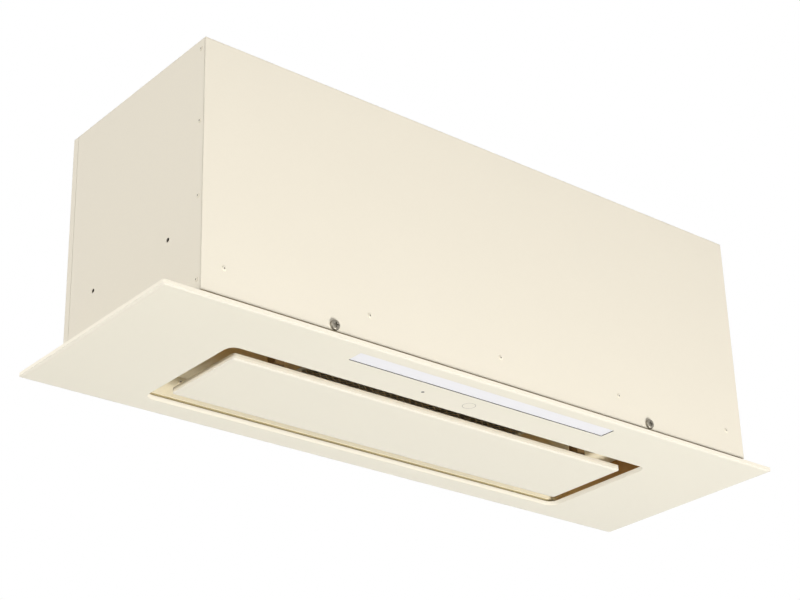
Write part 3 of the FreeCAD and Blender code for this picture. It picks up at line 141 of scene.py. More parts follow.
def speckled(material, colour, clouds, cloud, grains, grain):
    """A colour that the clouds and the grain make lighter and darker by their shares."""
    light = tuple(min(1, part * (1 + cloud)) for part in colour)
    dark = tuple(part * (1 - cloud) for part in colour)
    base = mixed(material, clouds, (*dark, 1), (*light, 1))
    speck = mapped(material, grains, noise_low, noise_high, 1 - grain, 1 + grain)
    return shader(material, "ShaderNodeVectorMath", {"operation": "SCALE"}, Vector=base,
                  Scale=speck).outputs[0]


# %% Rounded and rubbed edges
still_flat, well_round = 0.995, 0.80
print("an edge is rubbed where the rounding turns it by", round(math.degrees(math.acos(still_flat))), "to",
      round(math.degrees(math.acos(well_round))), "degrees")


def rounded_edges(material, radius, wear):
    """The surface's direction with its edges rounded, and the share by which each place is rubbed."""
    rounded = shader(material, "ShaderNodeBevel", {"samples": 4}, Radius=radius).outputs[0]
    face = shader(material, "ShaderNodeNewGeometry").outputs["True Normal"]
    alike = shader(material, "ShaderNodeVectorMath", {"operation": "DOT_PRODUCT"}, Vector=rounded,
                   Vector_001=face).outputs["Value"]
    return rounded, mapped(material, alike, still_flat, well_round, 0.0, wear)


# %% The recipe of a finish
def coated(name, colour, worn, gloss, cloud=0.03, cloud_size=0.16, grain=0.015, grain_size=0.0012,
           proud=0.00002, edge=0.0004, wear=0.5, brushed=(1, 1, 1), gloss_spread=0.05, change=None, **fixed):
    """A finish: colours and sizes in metres; change is a rule of its own for the colour and the glow;
    fixed holds what is the same all over, by the shader's own names."""
    material = emptied(bpy.data.materials.new(name))
    material.diffuse_color = (*colour, 1)
    clouds, grains = patterns(material, cloud_size, grain_size, brushed)
    coat = speckled(material, colour, clouds, cloud, grains, grain)
    rounded, rub = rounded_edges(material, edge, wear)
    tint = mixed(material, rub, coat, (*worn, 1))
    shine = mapped(material, clouds, noise_low, noise_high, gloss - gloss_spread, gloss + gloss_spread)
    relief = shader(material, "ShaderNodeBump", Strength=0.5, Distance=proud, Height=grains,
                    Normal=rounded).outputs[0]
    if change:
        tint = change(material, tint, fixed)
    surface = shader(material, "ShaderNodeBsdfPrincipled", Base_Color=tint, Roughness=shine, Normal=relief,
                     **fixed)
    shader(material, "ShaderNodeOutputMaterial", Surface=surface.outputs[0])
    return material


print("the recipe is ready; its finishes follow")

# %% [markdown]
# The box's sheets are powder coated in cream: a hard, even coat with the faint orange-peel of powder that
# has melted and set. There is no metal in it, it shines a little less than the glass, and at the sheets'
# bends it is thin enough to look slightly greyer. The suction panel's steel tray and the rivets' heads
# have the same coat.

# %% Cream powder coat
powder_coat = coated("cream_powder_coat", chart(236, 228, 210), chart(214, 204, 184), 0.46, cloud=0.012,
                     grain=0.008, grain_size=0.0016, proud=0.00003, edge=0.0006, wear=0.45,
                     Specular_IOR_Level=0.4)
print("made", powder_coat.name)

# %% [markdown]
# The flange and the panel's face are glass, painted on the back and matted on the front. The colour sits
# under the surface, so the shader's coat layer stands for the glass and the base for the paint. Light
# that falls on the face runs inside the glass and comes out at its ground edges, so even an edge that
# points away from every lamp looks pale. Real light scattering would do that slowly and with noise. Here
# the faces that stand upright, found by the z part of their own normal, get a painted glow instead: they
# give off a share of that light themselves and reflect less in return. The sloping bevels beside them
# are ground too, and a little duller than the polished face. Only the cut-out for the light window gets
# no glow and a dark colour: painted shade, which shows as a thin line round the window.

# %% What the window's seam takes in
seam_width = 1 * millimetre
window_low, window_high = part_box("light_window")
print("the light window is", round((window_high.x - window_low.x) / millimetre), "mm long")


def in_window_seam(material):
    """1 at the light window and in the seam round it, 0 elsewhere."""
    place = shader(material, "ShaderNodeSeparateXYZ",
                   Vector=shader(material, "ShaderNodeTexCoord").outputs["Object"]).outputs
    inside = []
    for axis, low, high in zip("XY", window_low, window_high):
        inside.append(shader(material, "ShaderNodeMath", {"operation": "COMPARE"}, Value=place[axis],
                             Value_001=(low + high) / 2, Value_002=(high - low) / 2 + seam_width).outputs[0])
    return shader(material, "ShaderNodeMath", {"operation": "MULTIPLY"}, Value=inside[0],
                  Value_001=inside[1]).outputs[0]


# %% Back-painted glass
edge_glow, edge_base, bevel_base = chart(196, 190, 176), chart(160, 154, 140), chart(227, 220, 204)
# A dark colour for the window cut-out's upright faces: painted shade for the line round the window.
window_seam_shade = chart(52, 51, 54)
bevel_starts, bevel_full, edge_starts, edge_full = 0.99, 0.96, 0.85, 0.15
print("a face is level at 1 and upright at 0: bevels from", bevel_starts, "and edges from", edge_starts)


def glow_at_edges(material, tint, fixed):
    """Bevels get a duller base, upright faces a painted glow, and the window's seam painted shade."""
    own = shader(material, "ShaderNodeTexCoord").outputs["Normal"]
    upright = shader(material, "ShaderNodeSeparateXYZ", Vector=own).outputs["Z"]
    levelness = shader(material, "ShaderNodeMath", {"operation": "ABSOLUTE"}, Value=upright).outputs[0]
    is_edge = mapped(material, levelness, edge_starts, edge_full, 0.0, 1.0)
    is_bevel = mapped(material, levelness, bevel_starts, bevel_full, 0.0, 1.0)
    tint = mixed(material, is_bevel, tint, (*bevel_base, 1))
    # Upright faces get a painted glow, except in the window's seam, which gets painted shade.
    shaded_seam = in_window_seam(material)
    glow = mixed(material, shaded_seam, (*edge_glow, 1), (0, 0, 0, 1))
    fixed["Emission_Color"] = mixed(material, is_edge, (0, 0, 0, 1), glow)
    fixed["Emission_Strength"] = 1.0
    edge_tint = mixed(material, shaded_seam, (*edge_base, 1), (*window_seam_shade, 1))
    return mixed(material, is_edge, tint, edge_tint)


painted_glass = coated("back_painted_glass", chart(225, 219, 201), chart(222, 216, 200), 0.34, cloud=0.010,
                       cloud_size=0.22, grain=0.004, grain_size=0.0009, proud=0.000006, edge=0.0006, wear=0.6,
                       change=glow_at_edges, Coat_Weight=0.25, Coat_Roughness=0.18, Specular_IOR_Level=0.45)
print("made", painted_glass.name)

# %% [markdown]
# The carrier and the recess's ceiling have the cream coat too. What light does in the recess, tan where
# it falls straight in and brown where it has bounced between warm walls, the renderer works out by
# itself, and painted shade is laid over it as films: a film is a colour that the coat is multiplied by,
# and a ramp along x or y says where it fades. The carrier's film makes it darker and yellower towards
# the front slot and leaves it pale towards the rear wall, and its right wall has the brownest painted
# shade. The ceiling has a film of its own, which fades out at its right end, where the light falls in.

# %% A film that fades along an axis
clear = (1, 1, 1, 1)
# Films of painted shade for the carrier's front, its right wall and the ceiling, whose shade fades at its
# bright right end.
front_shade_film, right_wall_shade_film, ceiling_shade_film = (0.86, 0.70, 0.46, 1), (0.55, 0.36, 0.15, 1), (0.84, 0.66, 0.34, 1)
shaded_until, unshaded_from = 0.0, 0.09
right_wall_from, right_wall_to = 0.31, 0.327
bright_end_from, bright_end_to = 0.19, 0.25
# What is printed as yellow is painted shade, full in front of the first y and gone behind the second.
print("the coat is yellow in front of y =", shaded_until, "and fresh behind y =", unshaded_from)


def ramp(material, axis, low, high):
    """A share that rises smoothly from 0 to 1 between two places along an axis of the hood."""
    place = shader(material, "ShaderNodeTexCoord").outputs["Object"]
    along = shader(material, "ShaderNodeSeparateXYZ", Vector=place).outputs[axis]
    return shader(material, "ShaderNodeMapRange", {"interpolation_type": "SMOOTHSTEP"}, Value=along,
                  From_Min=low, From_Max=high, To_Min=0.0, To_Max=1.0).outputs[0]


def filmed(material, tint, film):
    """The coat's colour seen through a film of a colour."""
    return shader(material, "ShaderNodeVectorMath", {"operation": "MULTIPLY"}, Vector=tint,
                  Vector_001=film).outputs[0]


# %% Recess coat and bonding tape
def shaded_to_the_front(material, tint, fixed):
    """Painted shade: the carrier's film fades towards the rear, and its right wall has a brown one."""
    front_shade_mix = mixed(material, ramp(material, "Y", shaded_until, unshaded_from), front_shade_film, clear)
    right_wall_shade_mix = mixed(material, ramp(material, "X", right_wall_from, right_wall_to), clear, right_wall_shade_film)
    return filmed(material, filmed(material, tint, front_shade_mix), right_wall_shade_mix)


def shaded_ceiling(material, tint, fixed):
    """Painted shade: the ceiling's film fades towards the rear and towards its lit right end."""
    unshaded = shader(material, "ShaderNodeMath", {"operation": "MAXIMUM"},
                   Value=ramp(material, "Y", shaded_until, unshaded_from),
                   Value_001=ramp(material, "X", bright_end_from, bright_end_to)).outputs[0]
    return filmed(material, tint, mixed(material, unshaded, ceiling_shade_film, clear))


recess_coat = coated("recess_coat", chart(238, 229, 202), chart(240, 232, 210), 0.34, cloud=0.03,
                     cloud_size=0.09, grain=0.015, grain_size=0.0016, proud=0.00003, edge=0.0005, wear=0.4,
                     change=shaded_to_the_front)
ceiling_coat = coated("ceiling_coat", chart(244, 234, 206), chart(242, 232, 206), 0.38, cloud=0.03,
                      cloud_size=0.06, grain=0.02, grain_size=0.0016, proud=0.00003, edge=0.0005, wear=0.4,
                      change=shaded_ceiling)
pale_tape = coated("bonding_tape_foam", chart(176, 162, 124), chart(186, 172, 138), 0.80, grain=0.10,
                   grain_size=0.0008, proud=0.0001, gloss_spread=0.02)
print("made", recess_coat.name, ceiling_coat.name, "and", pale_tape.name)

# %% [markdown]
# The other metals differ in how they were made. Zinc on a screw has dulled to a warm grey, a galvanised
# sheet has crystals some millimetres wide, rolled aluminium carries fine lines along its length, the
# filter's strands are tinted by the fat of many meals, ground steel is drawn round the shaft, and the
# motor's iron is a stack of dark sheets, so its grain is stretched across the axis.

# %% Metals
zinc = coated("zinc_plate", chart(138, 132, 120), chart(186, 180, 168), 0.40, cloud=0.10, cloud_size=0.004,
              grain=0.06, grain_size=0.0006, edge=0.0003, Metallic=0.85)
galvanised = coated("galvanised_sheet", chart(168, 171, 172), chart(196, 198, 198), 0.42, cloud=0.10,
                    cloud_size=0.009, grain=0.04, grain_size=0.0018, edge=0.0004, Metallic=0.9)
aluminium = coated("rolled_aluminium", chart(222, 216, 200), chart(232, 228, 216), 0.38, cloud=0.05,
                   cloud_size=0.03, grain=0.06, grain_size=0.0012, brushed=(0.08, 1, 1), edge=0.0002,
                   Metallic=0.35)
strand_aluminium = coated("strand_aluminium", chart(226, 202, 160), chart(232, 212, 176), 0.32, cloud=0.06,
                          cloud_size=0.03, grain=0.06, grain_size=0.0010, edge=0.0001, Metallic=0.85)
ground_steel = coated("ground_steel", chart(190, 190, 192), chart(224, 224, 226), 0.20, cloud=0.04,
                      cloud_size=0.01, grain=0.06, grain_size=0.0005, brushed=(1, 0.1, 0.1), edge=0.0002,
                      Metallic=1.0)
lamination = coated("motor_iron", chart(96, 90, 84), chart(132, 124, 116), 0.55, cloud=0.08, cloud_size=0.02,
                    grain=0.14, grain_size=0.0009, brushed=(1, 0.02, 0.02), proud=0.00006, Metallic=0.6)
copper = coated("enamelled_copper", chart(176, 98, 52), chart(206, 134, 84), 0.32, cloud=0.08,
                cloud_size=0.01, grain=0.08, grain_size=0.0006, edge=0.0002, Metallic=0.9)
print("metals:", [metal.name for metal in (zinc, galvanised, aluminium, strand_aluminium, ground_steel,
                                           lamination, copper)])

# %% [markdown]
# Moulded plastic has the fine even texture of its mould. The blower's casing, its wheel, the damper, the
# latch and the gland are near black, each of its own batch, the catches' brown is painted shade, matched
# to the shaded recess round them, and what carries mains current is off-white. Foam tape has open cells,
# so its grain is coarse and deep, and a cable's sheath is smooth and a little shiny.

# %% Plastics, foam and boards
casing_black = coated("casing_plastic", chart(22, 22, 23), chart(50, 50, 51), 0.52, grain=0.04,
                      grain_size=0.0008, proud=0.00003)
wheel_black = coated("wheel_plastic", chart(44, 44, 46), chart(70, 70, 72), 0.48, grain=0.05,
                     grain_size=0.0008, proud=0.00003)
fitting_black = coated("fitting_plastic", chart(36, 36, 37), chart(62, 62, 63), 0.50, grain=0.06,
                       grain_size=0.0007, proud=0.00004)
# The catches' brown is painted shade, matched to the shaded recess round them.
catch_shade_brown = coated("catch_plastic", chart(116, 92, 58), chart(132, 108, 74), 0.46, cloud=0.05, grain=0.05,
                     grain_size=0.0008, proud=0.00003)
mains_white = coated("mains_plastic", chart(226, 225, 219), chart(238, 238, 233), 0.44, grain=0.02,
                     grain_size=0.0008, proud=0.00002)
foam = coated("cell_foam", chart(44, 43, 40), chart(62, 60, 56), 0.90, grain=0.22, grain_size=0.0011,
              proud=0.0002, gloss_spread=0.02)
sheath = coated("cable_sheath", chart(222, 220, 214), chart(232, 231, 226), 0.40, grain=0.02,
                grain_size=0.0014, proud=0.00002)
board_green = coated("circuit_board", chart(36, 92, 58), chart(120, 130, 84), 0.34, cloud=0.10,
                     cloud_size=0.006, grain=0.10, grain_size=0.0010, edge=0.0002)
print("plastics:", [plastic.name for plastic in (casing_black, wheel_black, fitting_black, catch_shade_brown,
                                                 mains_white, foam, sheath, board_green)])

# %% [markdown]
# The light window is opal plastic: light gets into it and is scattered, so it looks soft, cool and
# slightly lit even when the hood hangs in daylight. A little emission on the shader's own socket gives it
# that, with the same clouds and grain as the rest. The key's ring and the sensor's lens are a print and a
# drop of smoked plastic.

# %% Window, key and lens
opal = coated("opal_window", chart(221, 219, 219), chart(190, 189, 190), 0.36, cloud=0.008, grain=0.003,
              grain_size=0.0008, proud=0.000004, edge=0.0002, wear=0.8,
              Emission_Color=(*chart(222, 230, 255), 1), Emission_Strength=0.07)
key_print = coated("key_print", chart(150, 143, 128), chart(168, 161, 146), 0.40, grain=0.03, edge=0.00005)
smoked = coated("smoked_lens", chart(14, 13, 12), chart(22, 20, 18), 0.34, grain=0.02, edge=0.0001,
                Specular_IOR_Level=0.3)
print("made", opal.name, key_print.name, "and", smoked.name)

# %% [markdown]
# Which finish a CAD node gets follows from its material slot in the record, so a slot is named once. The
# sensor's lens and the recess's ceiling differ from their slots' usual look and are named by themselves.

# %% Finishes onto the CAD nodes
finish_of_slot = {
    "cream_glass": painted_glass, "cream_paint": powder_coat, "recess_steel": recess_coat,
    "pale_tape": pale_tape, "zinc_steel": zinc, "foam": foam, "light_diffuser": opal,
    "key_print": key_print, "circuit": board_green, "white_plastic": mains_white,
    "filter_aluminium": aluminium, "spring_steel": ground_steel, "blower_plastic": casing_black,
    "wheel_plastic": wheel_black, "galvanised_steel": galvanised, "motor_iron": lamination,
    "copper": copper, "brown_plastic": catch_shade_brown, "ground_steel": ground_steel,
    "black_plastic": fitting_black, "cable_sheath": sheath, "capacitor_case": mains_white,
}
finish_of_node = {"sensor_lens": smoked, "recess_tray": ceiling_coat}
slot_of_node = {row["node"]: row["material_slot"] for row in frame["record"]["subparts"]}
for name, piece in cad_nodes.items():
    piece.data.materials.clear()
    piece.data.materials.append(finish_of_node.get(name, finish_of_slot[slot_of_node[name]]))
print("finished nodes:", len(cad_nodes))

# %% [markdown]
# Some pieces of the hood repeat or follow a rule, and Geometry Nodes make those: a small tree of nodes,
# written here line by line, whose inputs are the sizes. Three helpers serve every tree. The first makes
# one with a named input for each size, the second adds a node as shader() does, and the third runs the
# tree and keeps its result as a plain mesh, because a mesh is what a frame node is replaced by. Smaller
# ones do arithmetic, read a point's place and end a tree.

# %% Helpers for geometry node trees
def tree_with_inputs(name, sizes):
    """A new tree with a geometry input and output, and one named input for each size."""
    tree = bpy.data.node_groups.new(name, "GeometryNodeTree")
    tree.interface.new_socket("Geometry", in_out="INPUT", socket_type="NodeSocketGeometry")
    tree.interface.new_socket("Geometry", in_out="OUTPUT", socket_type="NodeSocketGeometry")
    kinds = {int: "NodeSocketInt", float: "NodeSocketFloat", bpy.types.Object: "NodeSocketObject"}
    for label, value in sizes.items():
        tree.interface.new_socket(label, in_out="INPUT", socket_type=kinds[type(value)])
    return tree, tree.nodes.new("NodeGroupInput").outputs, tree.nodes.new("NodeGroupOutput").inputs[0]


def step(tree, kind, settings=None, **inputs):
    """Adds a node to a geometry tree and gives back its first output."""
    made = tree.nodes.new(kind)
    for key, value in (settings or {}).items():
        setattr(made, key, value)
    for name, value in inputs.items():
        socket = next(s for s in made.inputs if s.identifier in (name, name.replace("_", " ")))
        if isinstance(value, bpy.types.NodeSocket):
            tree.links.new(value, socket)
        else:
            socket.default_value = value
    return made.outputs[0]


def reckoned(tree, operation, first, second=0.0):
    """One step of arithmetic on numbers."""
    return step(tree, "ShaderNodeMath", {"operation": operation}, Value=first, Value_001=second)


def place_parts(tree):
    """The x, y and z of every point."""
    parts = tree.nodes.new("ShaderNodeSeparateXYZ")
    tree.links.new(step(tree, "GeometryNodeInputPosition"), parts.inputs[0])
    return parts.outputs


def finished(tree, shape, finish, grown_out):
    """Ends a tree: its copies become real faces with a finish, and go out."""
    real = step(tree, "GeometryNodeRealizeInstances", Geometry=shape)
    tree.links.new(step(tree, "GeometryNodeSetMaterial", Geometry=real, Material=finish), grown_out)


# %% Helpers that run a tree and hand its result over
def grown_by(tree, sizes, name, start_mesh=None):
    """Runs a tree with its sizes and gives back the plain mesh object that comes out of it."""
    holder = bpy.data.objects.new(name + "_grower", start_mesh or bpy.data.meshes.new(name + "_start"))
    bpy.context.scene.collection.objects.link(holder)
    modifier = holder.modifiers.new(name, "NODES")
    modifier.node_group = tree
    for item in tree.interface.items_tree:
        if item.in_out == "INPUT" and item.name in sizes:
            modifier[item.identifier] = sizes[item.name]
    depsgraph = bpy.context.evaluated_depsgraph_get()
    mesh = bpy.data.meshes.new_from_object(holder.evaluated_get(depsgraph), preserve_all_data_layers=True,
                                           depsgraph=depsgraph)
    bpy.data.objects.remove(holder)
    piece = bpy.data.objects.new(name, mesh)
    bpy.context.scene.collection.objects.link(piece)
    print(f"{name}: {len(mesh.polygons)} faces")
    return piece


def stands_for(piece, node, body="hood"):
    """Lets a finished piece ride on a body in place of a CAD node."""
    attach(piece, body)
    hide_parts(node)


print("slots in the record:", sorted(set(slot_of_node.values())))

# %% [markdown]
# The filter's mesh is expanded metal: a sheet is slit in rows and pulled, and the strips between the
# slits become zigzags that touch their neighbours at every peak. A modeller could draw one cell and copy
# it, but the rule is so plain that nodes follow it better: a zigzag line goes on every row, each second
# row is moved by half a cell, what lies over the latch's guide is taken away, and at the end the lines
# get their flat section.

# %% Sizes of the filter's mesh
mesh_low, mesh_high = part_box("filter_mesh")
into_frame = 1 * millimetre
strand_rows, strand_cells = 29, 35
guide_half_width, guide_rear = 14.6 * millimetre, -6.4 * millimetre
mesh_sizes = {
    "Cell Length": (mesh_high.x - mesh_low.x + 2 * into_frame) / strand_cells,
    "Row Pitch": (mesh_high.y - mesh_low.y + 2 * into_frame) / strand_rows,
    "Strand Width": 0.8 * millimetre,
    "Strand Height": 0.5 * millimetre,
    "Left": mesh_low.x - into_frame,
    "Front": mesh_low.y - into_frame,
    "Level": (mesh_low.z + mesh_high.z) / 2,
    "Cells": strand_cells,
    "Rows": strand_rows,
    "Guide Half Width": guide_half_width,
    "Guide Rear": guide_rear,
}
print("a cell is", round(mesh_sizes["Cell Length"] / millimetre, 1), "mm long, a row",
      round(mesh_sizes["Row Pitch"] / millimetre, 1), "mm deep")

# %% Rows of zigzags
tree, sizes_in, grown_out = tree_with_inputs("expanded_metal", mesh_sizes)
half_cell = reckoned(tree, "MULTIPLY", sizes_in["Cell Length"], 0.5)
corner_count = reckoned(tree, "MULTIPLY", sizes_in["Cells"], 2.0)
number = step(tree, "GeometryNodeInputIndex")
is_odd = reckoned(tree, "MODULO", number, 2.0)
line = step(tree, "GeometryNodeMeshLine", Count=corner_count,
            Offset=step(tree, "ShaderNodeCombineXYZ", X=half_cell))
peak = reckoned(tree, "MULTIPLY", is_odd, sizes_in["Row Pitch"])
zigzag = step(tree, "GeometryNodeSetPosition", Geometry=line,
              Offset=step(tree, "ShaderNodeCombineXYZ", Y=peak))
first_row = step(tree, "ShaderNodeCombineXYZ", X=sizes_in["Left"], Y=sizes_in["Front"], Z=sizes_in["Level"])
rows = step(tree, "GeometryNodeMeshLine", Count=sizes_in["Rows"], Start_Location=first_row,
            Offset=step(tree, "ShaderNodeCombineXYZ", Y=sizes_in["Row Pitch"]))
half_step = step(tree, "ShaderNodeCombineXYZ", X=reckoned(tree, "MULTIPLY", is_odd, half_cell))
staggered = step(tree, "GeometryNodeSetPosition", Geometry=rows, Offset=half_step)
every_row = step(tree, "GeometryNodeInstanceOnPoints", Points=staggered, Instance=zigzag)
lines = step(tree, "GeometryNodeRealizeInstances", Geometry=every_row)
print("nodes so far:", len(tree.nodes))

# %% Room for the guide, and the flat section
place = place_parts(tree)
in_width = reckoned(tree, "LESS_THAN", reckoned(tree, "ABSOLUTE", place["X"]), sizes_in["Guide Half Width"])
in_depth = reckoned(tree, "LESS_THAN", place["Y"], sizes_in["Guide Rear"])
open_lines = step(tree, "GeometryNodeDeleteGeometry", {"domain": "POINT"}, Geometry=lines,
                  Selection=reckoned(tree, "MULTIPLY", in_width, in_depth))
strands = step(tree, "GeometryNodeMeshToCurve", Mesh=open_lines)
section = step(tree, "GeometryNodeCurvePrimitiveQuadrilateral", Width=sizes_in["Strand Width"],
               Height=sizes_in["Strand Height"])
solid = step(tree, "GeometryNodeCurveToMesh", Curve=strands, Profile_Curve=section, Fill_Caps=True)
finished(tree, solid, strand_aluminium, grown_out)
expanded_mesh = grown_by(tree, mesh_sizes, "expanded_mesh")
stands_for(expanded_mesh, "filter_mesh")

# %% [markdown]
# The filter's latch is pushed home by a small compression spring of steel wire, wound in open turns with
# the ends closed. Blender has a node for a spiral, and a round profile drawn along it gives the wire. The
# spiral stands along z, so its points are laid over to y, the way the latch slides. When the latch is
# pulled back, the coil has to get shorter.

# %% The latch's spring
spring_low, spring_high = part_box("latch_spring")
wire_radius, spring_turns = 0.25 * millimetre, 6.5
points_a_turn, wire_sides = 20, 8
spring_sizes = {
    "Turns": spring_turns,
    "Coil Radius": (spring_high.x - spring_low.x) / 2 - wire_radius,
    "Wire Radius": wire_radius,
    "Length": spring_high.y - spring_low.y - 2 * wire_radius,
    "Front": spring_low.y + wire_radius,
    "Level": (spring_low.z + spring_high.z) / 2,
}
tree, sizes_in, grown_out = tree_with_inputs("wound_spring", spring_sizes)
spiral = step(tree, "GeometryNodeCurveSpiral", Resolution=points_a_turn, Rotations=sizes_in["Turns"],
              Start_Radius=sizes_in["Coil Radius"], End_Radius=sizes_in["Coil Radius"],
              Height=sizes_in["Length"])
stood = place_parts(tree)
lying = step(tree, "ShaderNodeCombineXYZ", X=stood["X"],
             Y=reckoned(tree, "ADD", stood["Z"], sizes_in["Front"]),
             Z=reckoned(tree, "ADD", stood["Y"], sizes_in["Level"]))
laid_over = step(tree, "GeometryNodeSetPosition", Geometry=spiral, Position=lying)
wire_section = step(tree, "GeometryNodeCurvePrimitiveCircle", Resolution=wire_sides,
                    Radius=sizes_in["Wire Radius"])
wound = step(tree, "GeometryNodeCurveToMesh", Curve=laid_over, Profile_Curve=wire_section, Fill_Caps=True)
finished(tree, wound, ground_steel, grown_out)
wound_spring = grown_by(tree, spring_sizes, "wound_spring")
stands_for(wound_spring, "latch_spring")
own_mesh(wound_spring)

# %% [markdown]
# The sheets are joined with blind rivets. Seen from outside, each is a low painted disc, and in its
# middle is the small hole that the mandrel left, with the broken steel stub at the bottom. One rivet is
# turned as on a lathe, from an outline of a few points round the z axis, and the tree sets a copy on
# every place. The places and the directions are read from the CAD's own plain rivets, so they can't drift
# apart.

# %% A shape turned as on a lathe
crease = math.radians(32)


def turned(name, outline, sides, steel_bands):
    """A closed solid of revolution from (radius, height) points; its last bands are marked as steel."""
    shape = bmesh.new()
    steel_mark = shape.faces.layers.bool.new("stub")
    first_steel = len(outline) - 1 - steel_bands
    rings = []
    for radius, height in outline:
        if radius == 0:
            rings.append([shape.verts.new((0, 0, height))] * sides)
            continue
        turns = [2 * math.pi * side / sides for side in range(sides)]
        rings.append([shape.verts.new((radius * math.cos(turn), radius * math.sin(turn), height))
                      for turn in turns])
    for number, (below, above) in enumerate(zip(rings, rings[1:])):
        for side in range(sides):
            after = (side + 1) % sides
            corners = dict.fromkeys((below[side], below[after], above[after], above[side]))
            face = shape.faces.new(list(corners))
            face.smooth = True
            face[steel_mark] = number >= first_steel
    bmesh.ops.recalc_face_normals(shape, faces=shape.faces)
    mesh = bpy.data.meshes.new(name)
    shape.to_mesh(mesh)
    shape.free()
    mesh.set_sharp_from_angle(angle=crease)
    piece = bpy.data.objects.new(name, mesh)
    bpy.context.scene.collection.objects.link(piece)
    return piece


print("faces stay smooth over bends of up to", round(math.degrees(crease)), "degrees")

# %% The outline of one rivet
rivet_sides, steel_bands = 20, 2
head_radius, head_height, rounding = 2.6 * millimetre, 0.8 * millimetre, 0.5 * millimetre
tail_radius, tail_height, shank_radius = 2.4 * millimetre, 1.0 * millimetre, 1.6 * millimetre
stub_radius, stub_depth = 0.95 * millimetre, 0.62 * millimetre
rim_width, rim_depth = 0.12 * millimetre, 0.1 * millimetre


def rivet_outline(grip):
    """From the tail's middle, out round the head, to the stub's middle."""
    arc = [(head_radius - rounding * (1 - math.cos(turn)), head_height - rounding * (1 - math.sin(turn)))
           for turn in (0, math.pi / 6, math.pi / 3, math.pi / 2)]
    hole_rim = (stub_radius + rim_width, head_height)
    hole_wall = (stub_radius, head_height - rim_depth)
    hole_foot = (stub_radius, head_height - stub_depth)
    return [(0, -grip - tail_height), (tail_radius, -grip - tail_height), (tail_radius, -grip),
            (shank_radius, -grip), (shank_radius, 0), (head_radius, 0), *arc, hole_rim, hole_wall, hole_foot,
            (0, head_height - stub_depth)]


print("a rivet's outline has", len(rivet_outline(2 * millimetre)), "points")


# %% Where the CAD's rivets stand
same_point = 0.001 * millimetre


def islands_of(shape):
    """The separate shells of a mesh, each as a set of its corners."""
    visited = set()
    for start in shape.verts:
        if start in visited:
            continue
        island, to_visit = set(), [start]
        while to_visit:
            vertex = to_visit.pop()
            if vertex not in island:
                island.add(vertex)
                to_visit.extend(edge.other_vert(vertex) for edge in vertex.link_edges)
        visited |= island
        yield island


def width_near(island, along, end, middle):
    """How far the corners near one end of a rivet lie from its axis, squared."""
    near = [vertex.co for vertex in island if abs(vertex.co[along] - end) < 0.95 * head_height]
    return max(sum((co[axis] - middle[axis]) ** 2 for axis in range(3) if axis != along) for co in near)


def rivet_places(node):
    """The seat, the outward direction and the grip of each rivet in a CAD node."""
    copy = bmesh.new()
    copy.from_mesh(cad_nodes[node].data)
    bmesh.ops.remove_doubles(copy, verts=copy.verts, dist=same_point)
    places = []
    for island in islands_of(copy):
        low = Vector([min(vertex.co[axis] for vertex in island) for axis in range(3)])
        high = Vector([max(vertex.co[axis] for vertex in island) for axis in range(3)])
        middle = (low + high) / 2
        along = max(range(3), key=lambda axis: abs(high[axis] - low[axis] - 2 * head_radius))
        head_is_high = (width_near(island, along, high[along], middle)
                        > width_near(island, along, low[along], middle))
        outward = 1 if head_is_high else -1
        seat = middle.copy()
        seat[along] = (high if head_is_high else low)[along] - outward * head_height
        direction = Vector([outward if axis == along else 0 for axis in range(3)])
        grip = high[along] - low[along] - head_height - tail_height
        places.append((seat, direction, round(grip, 4)))
    copy.free()
    return places


print("rivets on the tray:", len(rivet_places("tray_rivets")))

# %% A tree that seats one rivet on every place
def rivets_for(node, name):
    """Blind rivets in place of the CAD's plain ones."""
    places = rivet_places(node)
    pieces = []
    for grip in sorted({place[2] for place in places}):
        seats = [(seat, direction) for seat, direction, length in places if length == grip]
        start = bpy.data.meshes.new(name + "_seats")
        start.from_pydata([tuple(seat) for seat, _ in seats], [], [])
        outward = start.attributes.new("outward", "FLOAT_VECTOR", "POINT")
        for number, (_, direction) in enumerate(seats):
            outward.data[number].vector = direction
        template = turned(name + "_template", rivet_outline(grip), rivet_sides, steel_bands)
        sizes = {"Template": template}
        tree, sizes_in, grown_out = tree_with_inputs("rivets_on_seats", sizes)
        facing = step(tree, "FunctionNodeAlignRotationToVector", {"axis": "Z"},
                      Vector=step(tree, "GeometryNodeInputNamedAttribute", {"data_type": "FLOAT_VECTOR"},
                                  Name="outward"))
        info = tree.nodes.new("GeometryNodeObjectInfo")
        tree.links.new(sizes_in["Template"], info.inputs["Object"])
        seated = step(tree, "GeometryNodeInstanceOnPoints", Points=sizes_in["Geometry"],
                      Instance=info.outputs["Geometry"], Rotation=facing)
        plain = step(tree, "GeometryNodeRealizeInstances", Geometry=seated)
        painted = step(tree, "GeometryNodeSetMaterial", Geometry=plain, Material=powder_coat)
        is_stub = step(tree, "GeometryNodeInputNamedAttribute", {"data_type": "BOOLEAN"}, Name="stub")
        stubbed = step(tree, "GeometryNodeSetMaterial", Geometry=painted, Selection=is_stub, Material=zinc)
        tree.links.new(stubbed, grown_out)
        pieces.append(grown_by(tree, sizes, f"{name}_{grip / millimetre:.0f}mm", start))
        bpy.data.objects.remove(template)
    for piece in pieces:
        stands_for(piece, node)
    return places


for node, name in (("tray_rivets", "tray_blind_rivets"), ("corner_rivets", "corner_blind_rivets"),
                   ("top_rivets", "top_blind_rivets")):
    print(name, len(rivets_for(node, name)))

# %% [markdown]
# The photograph's slots tell where its light stood. A bright patch on the recess's ceiling lies straight
# behind the right gap and a little to the left of it, the rear wall is pale, and the right wall is deep
# brown. That is one large lamp low in front, a little to the right, about 50 degrees below the hood. The
# world is an even, weaker fill. Rays from the camera, and those that glossy and clear surfaces send out,
# see the plain white background.

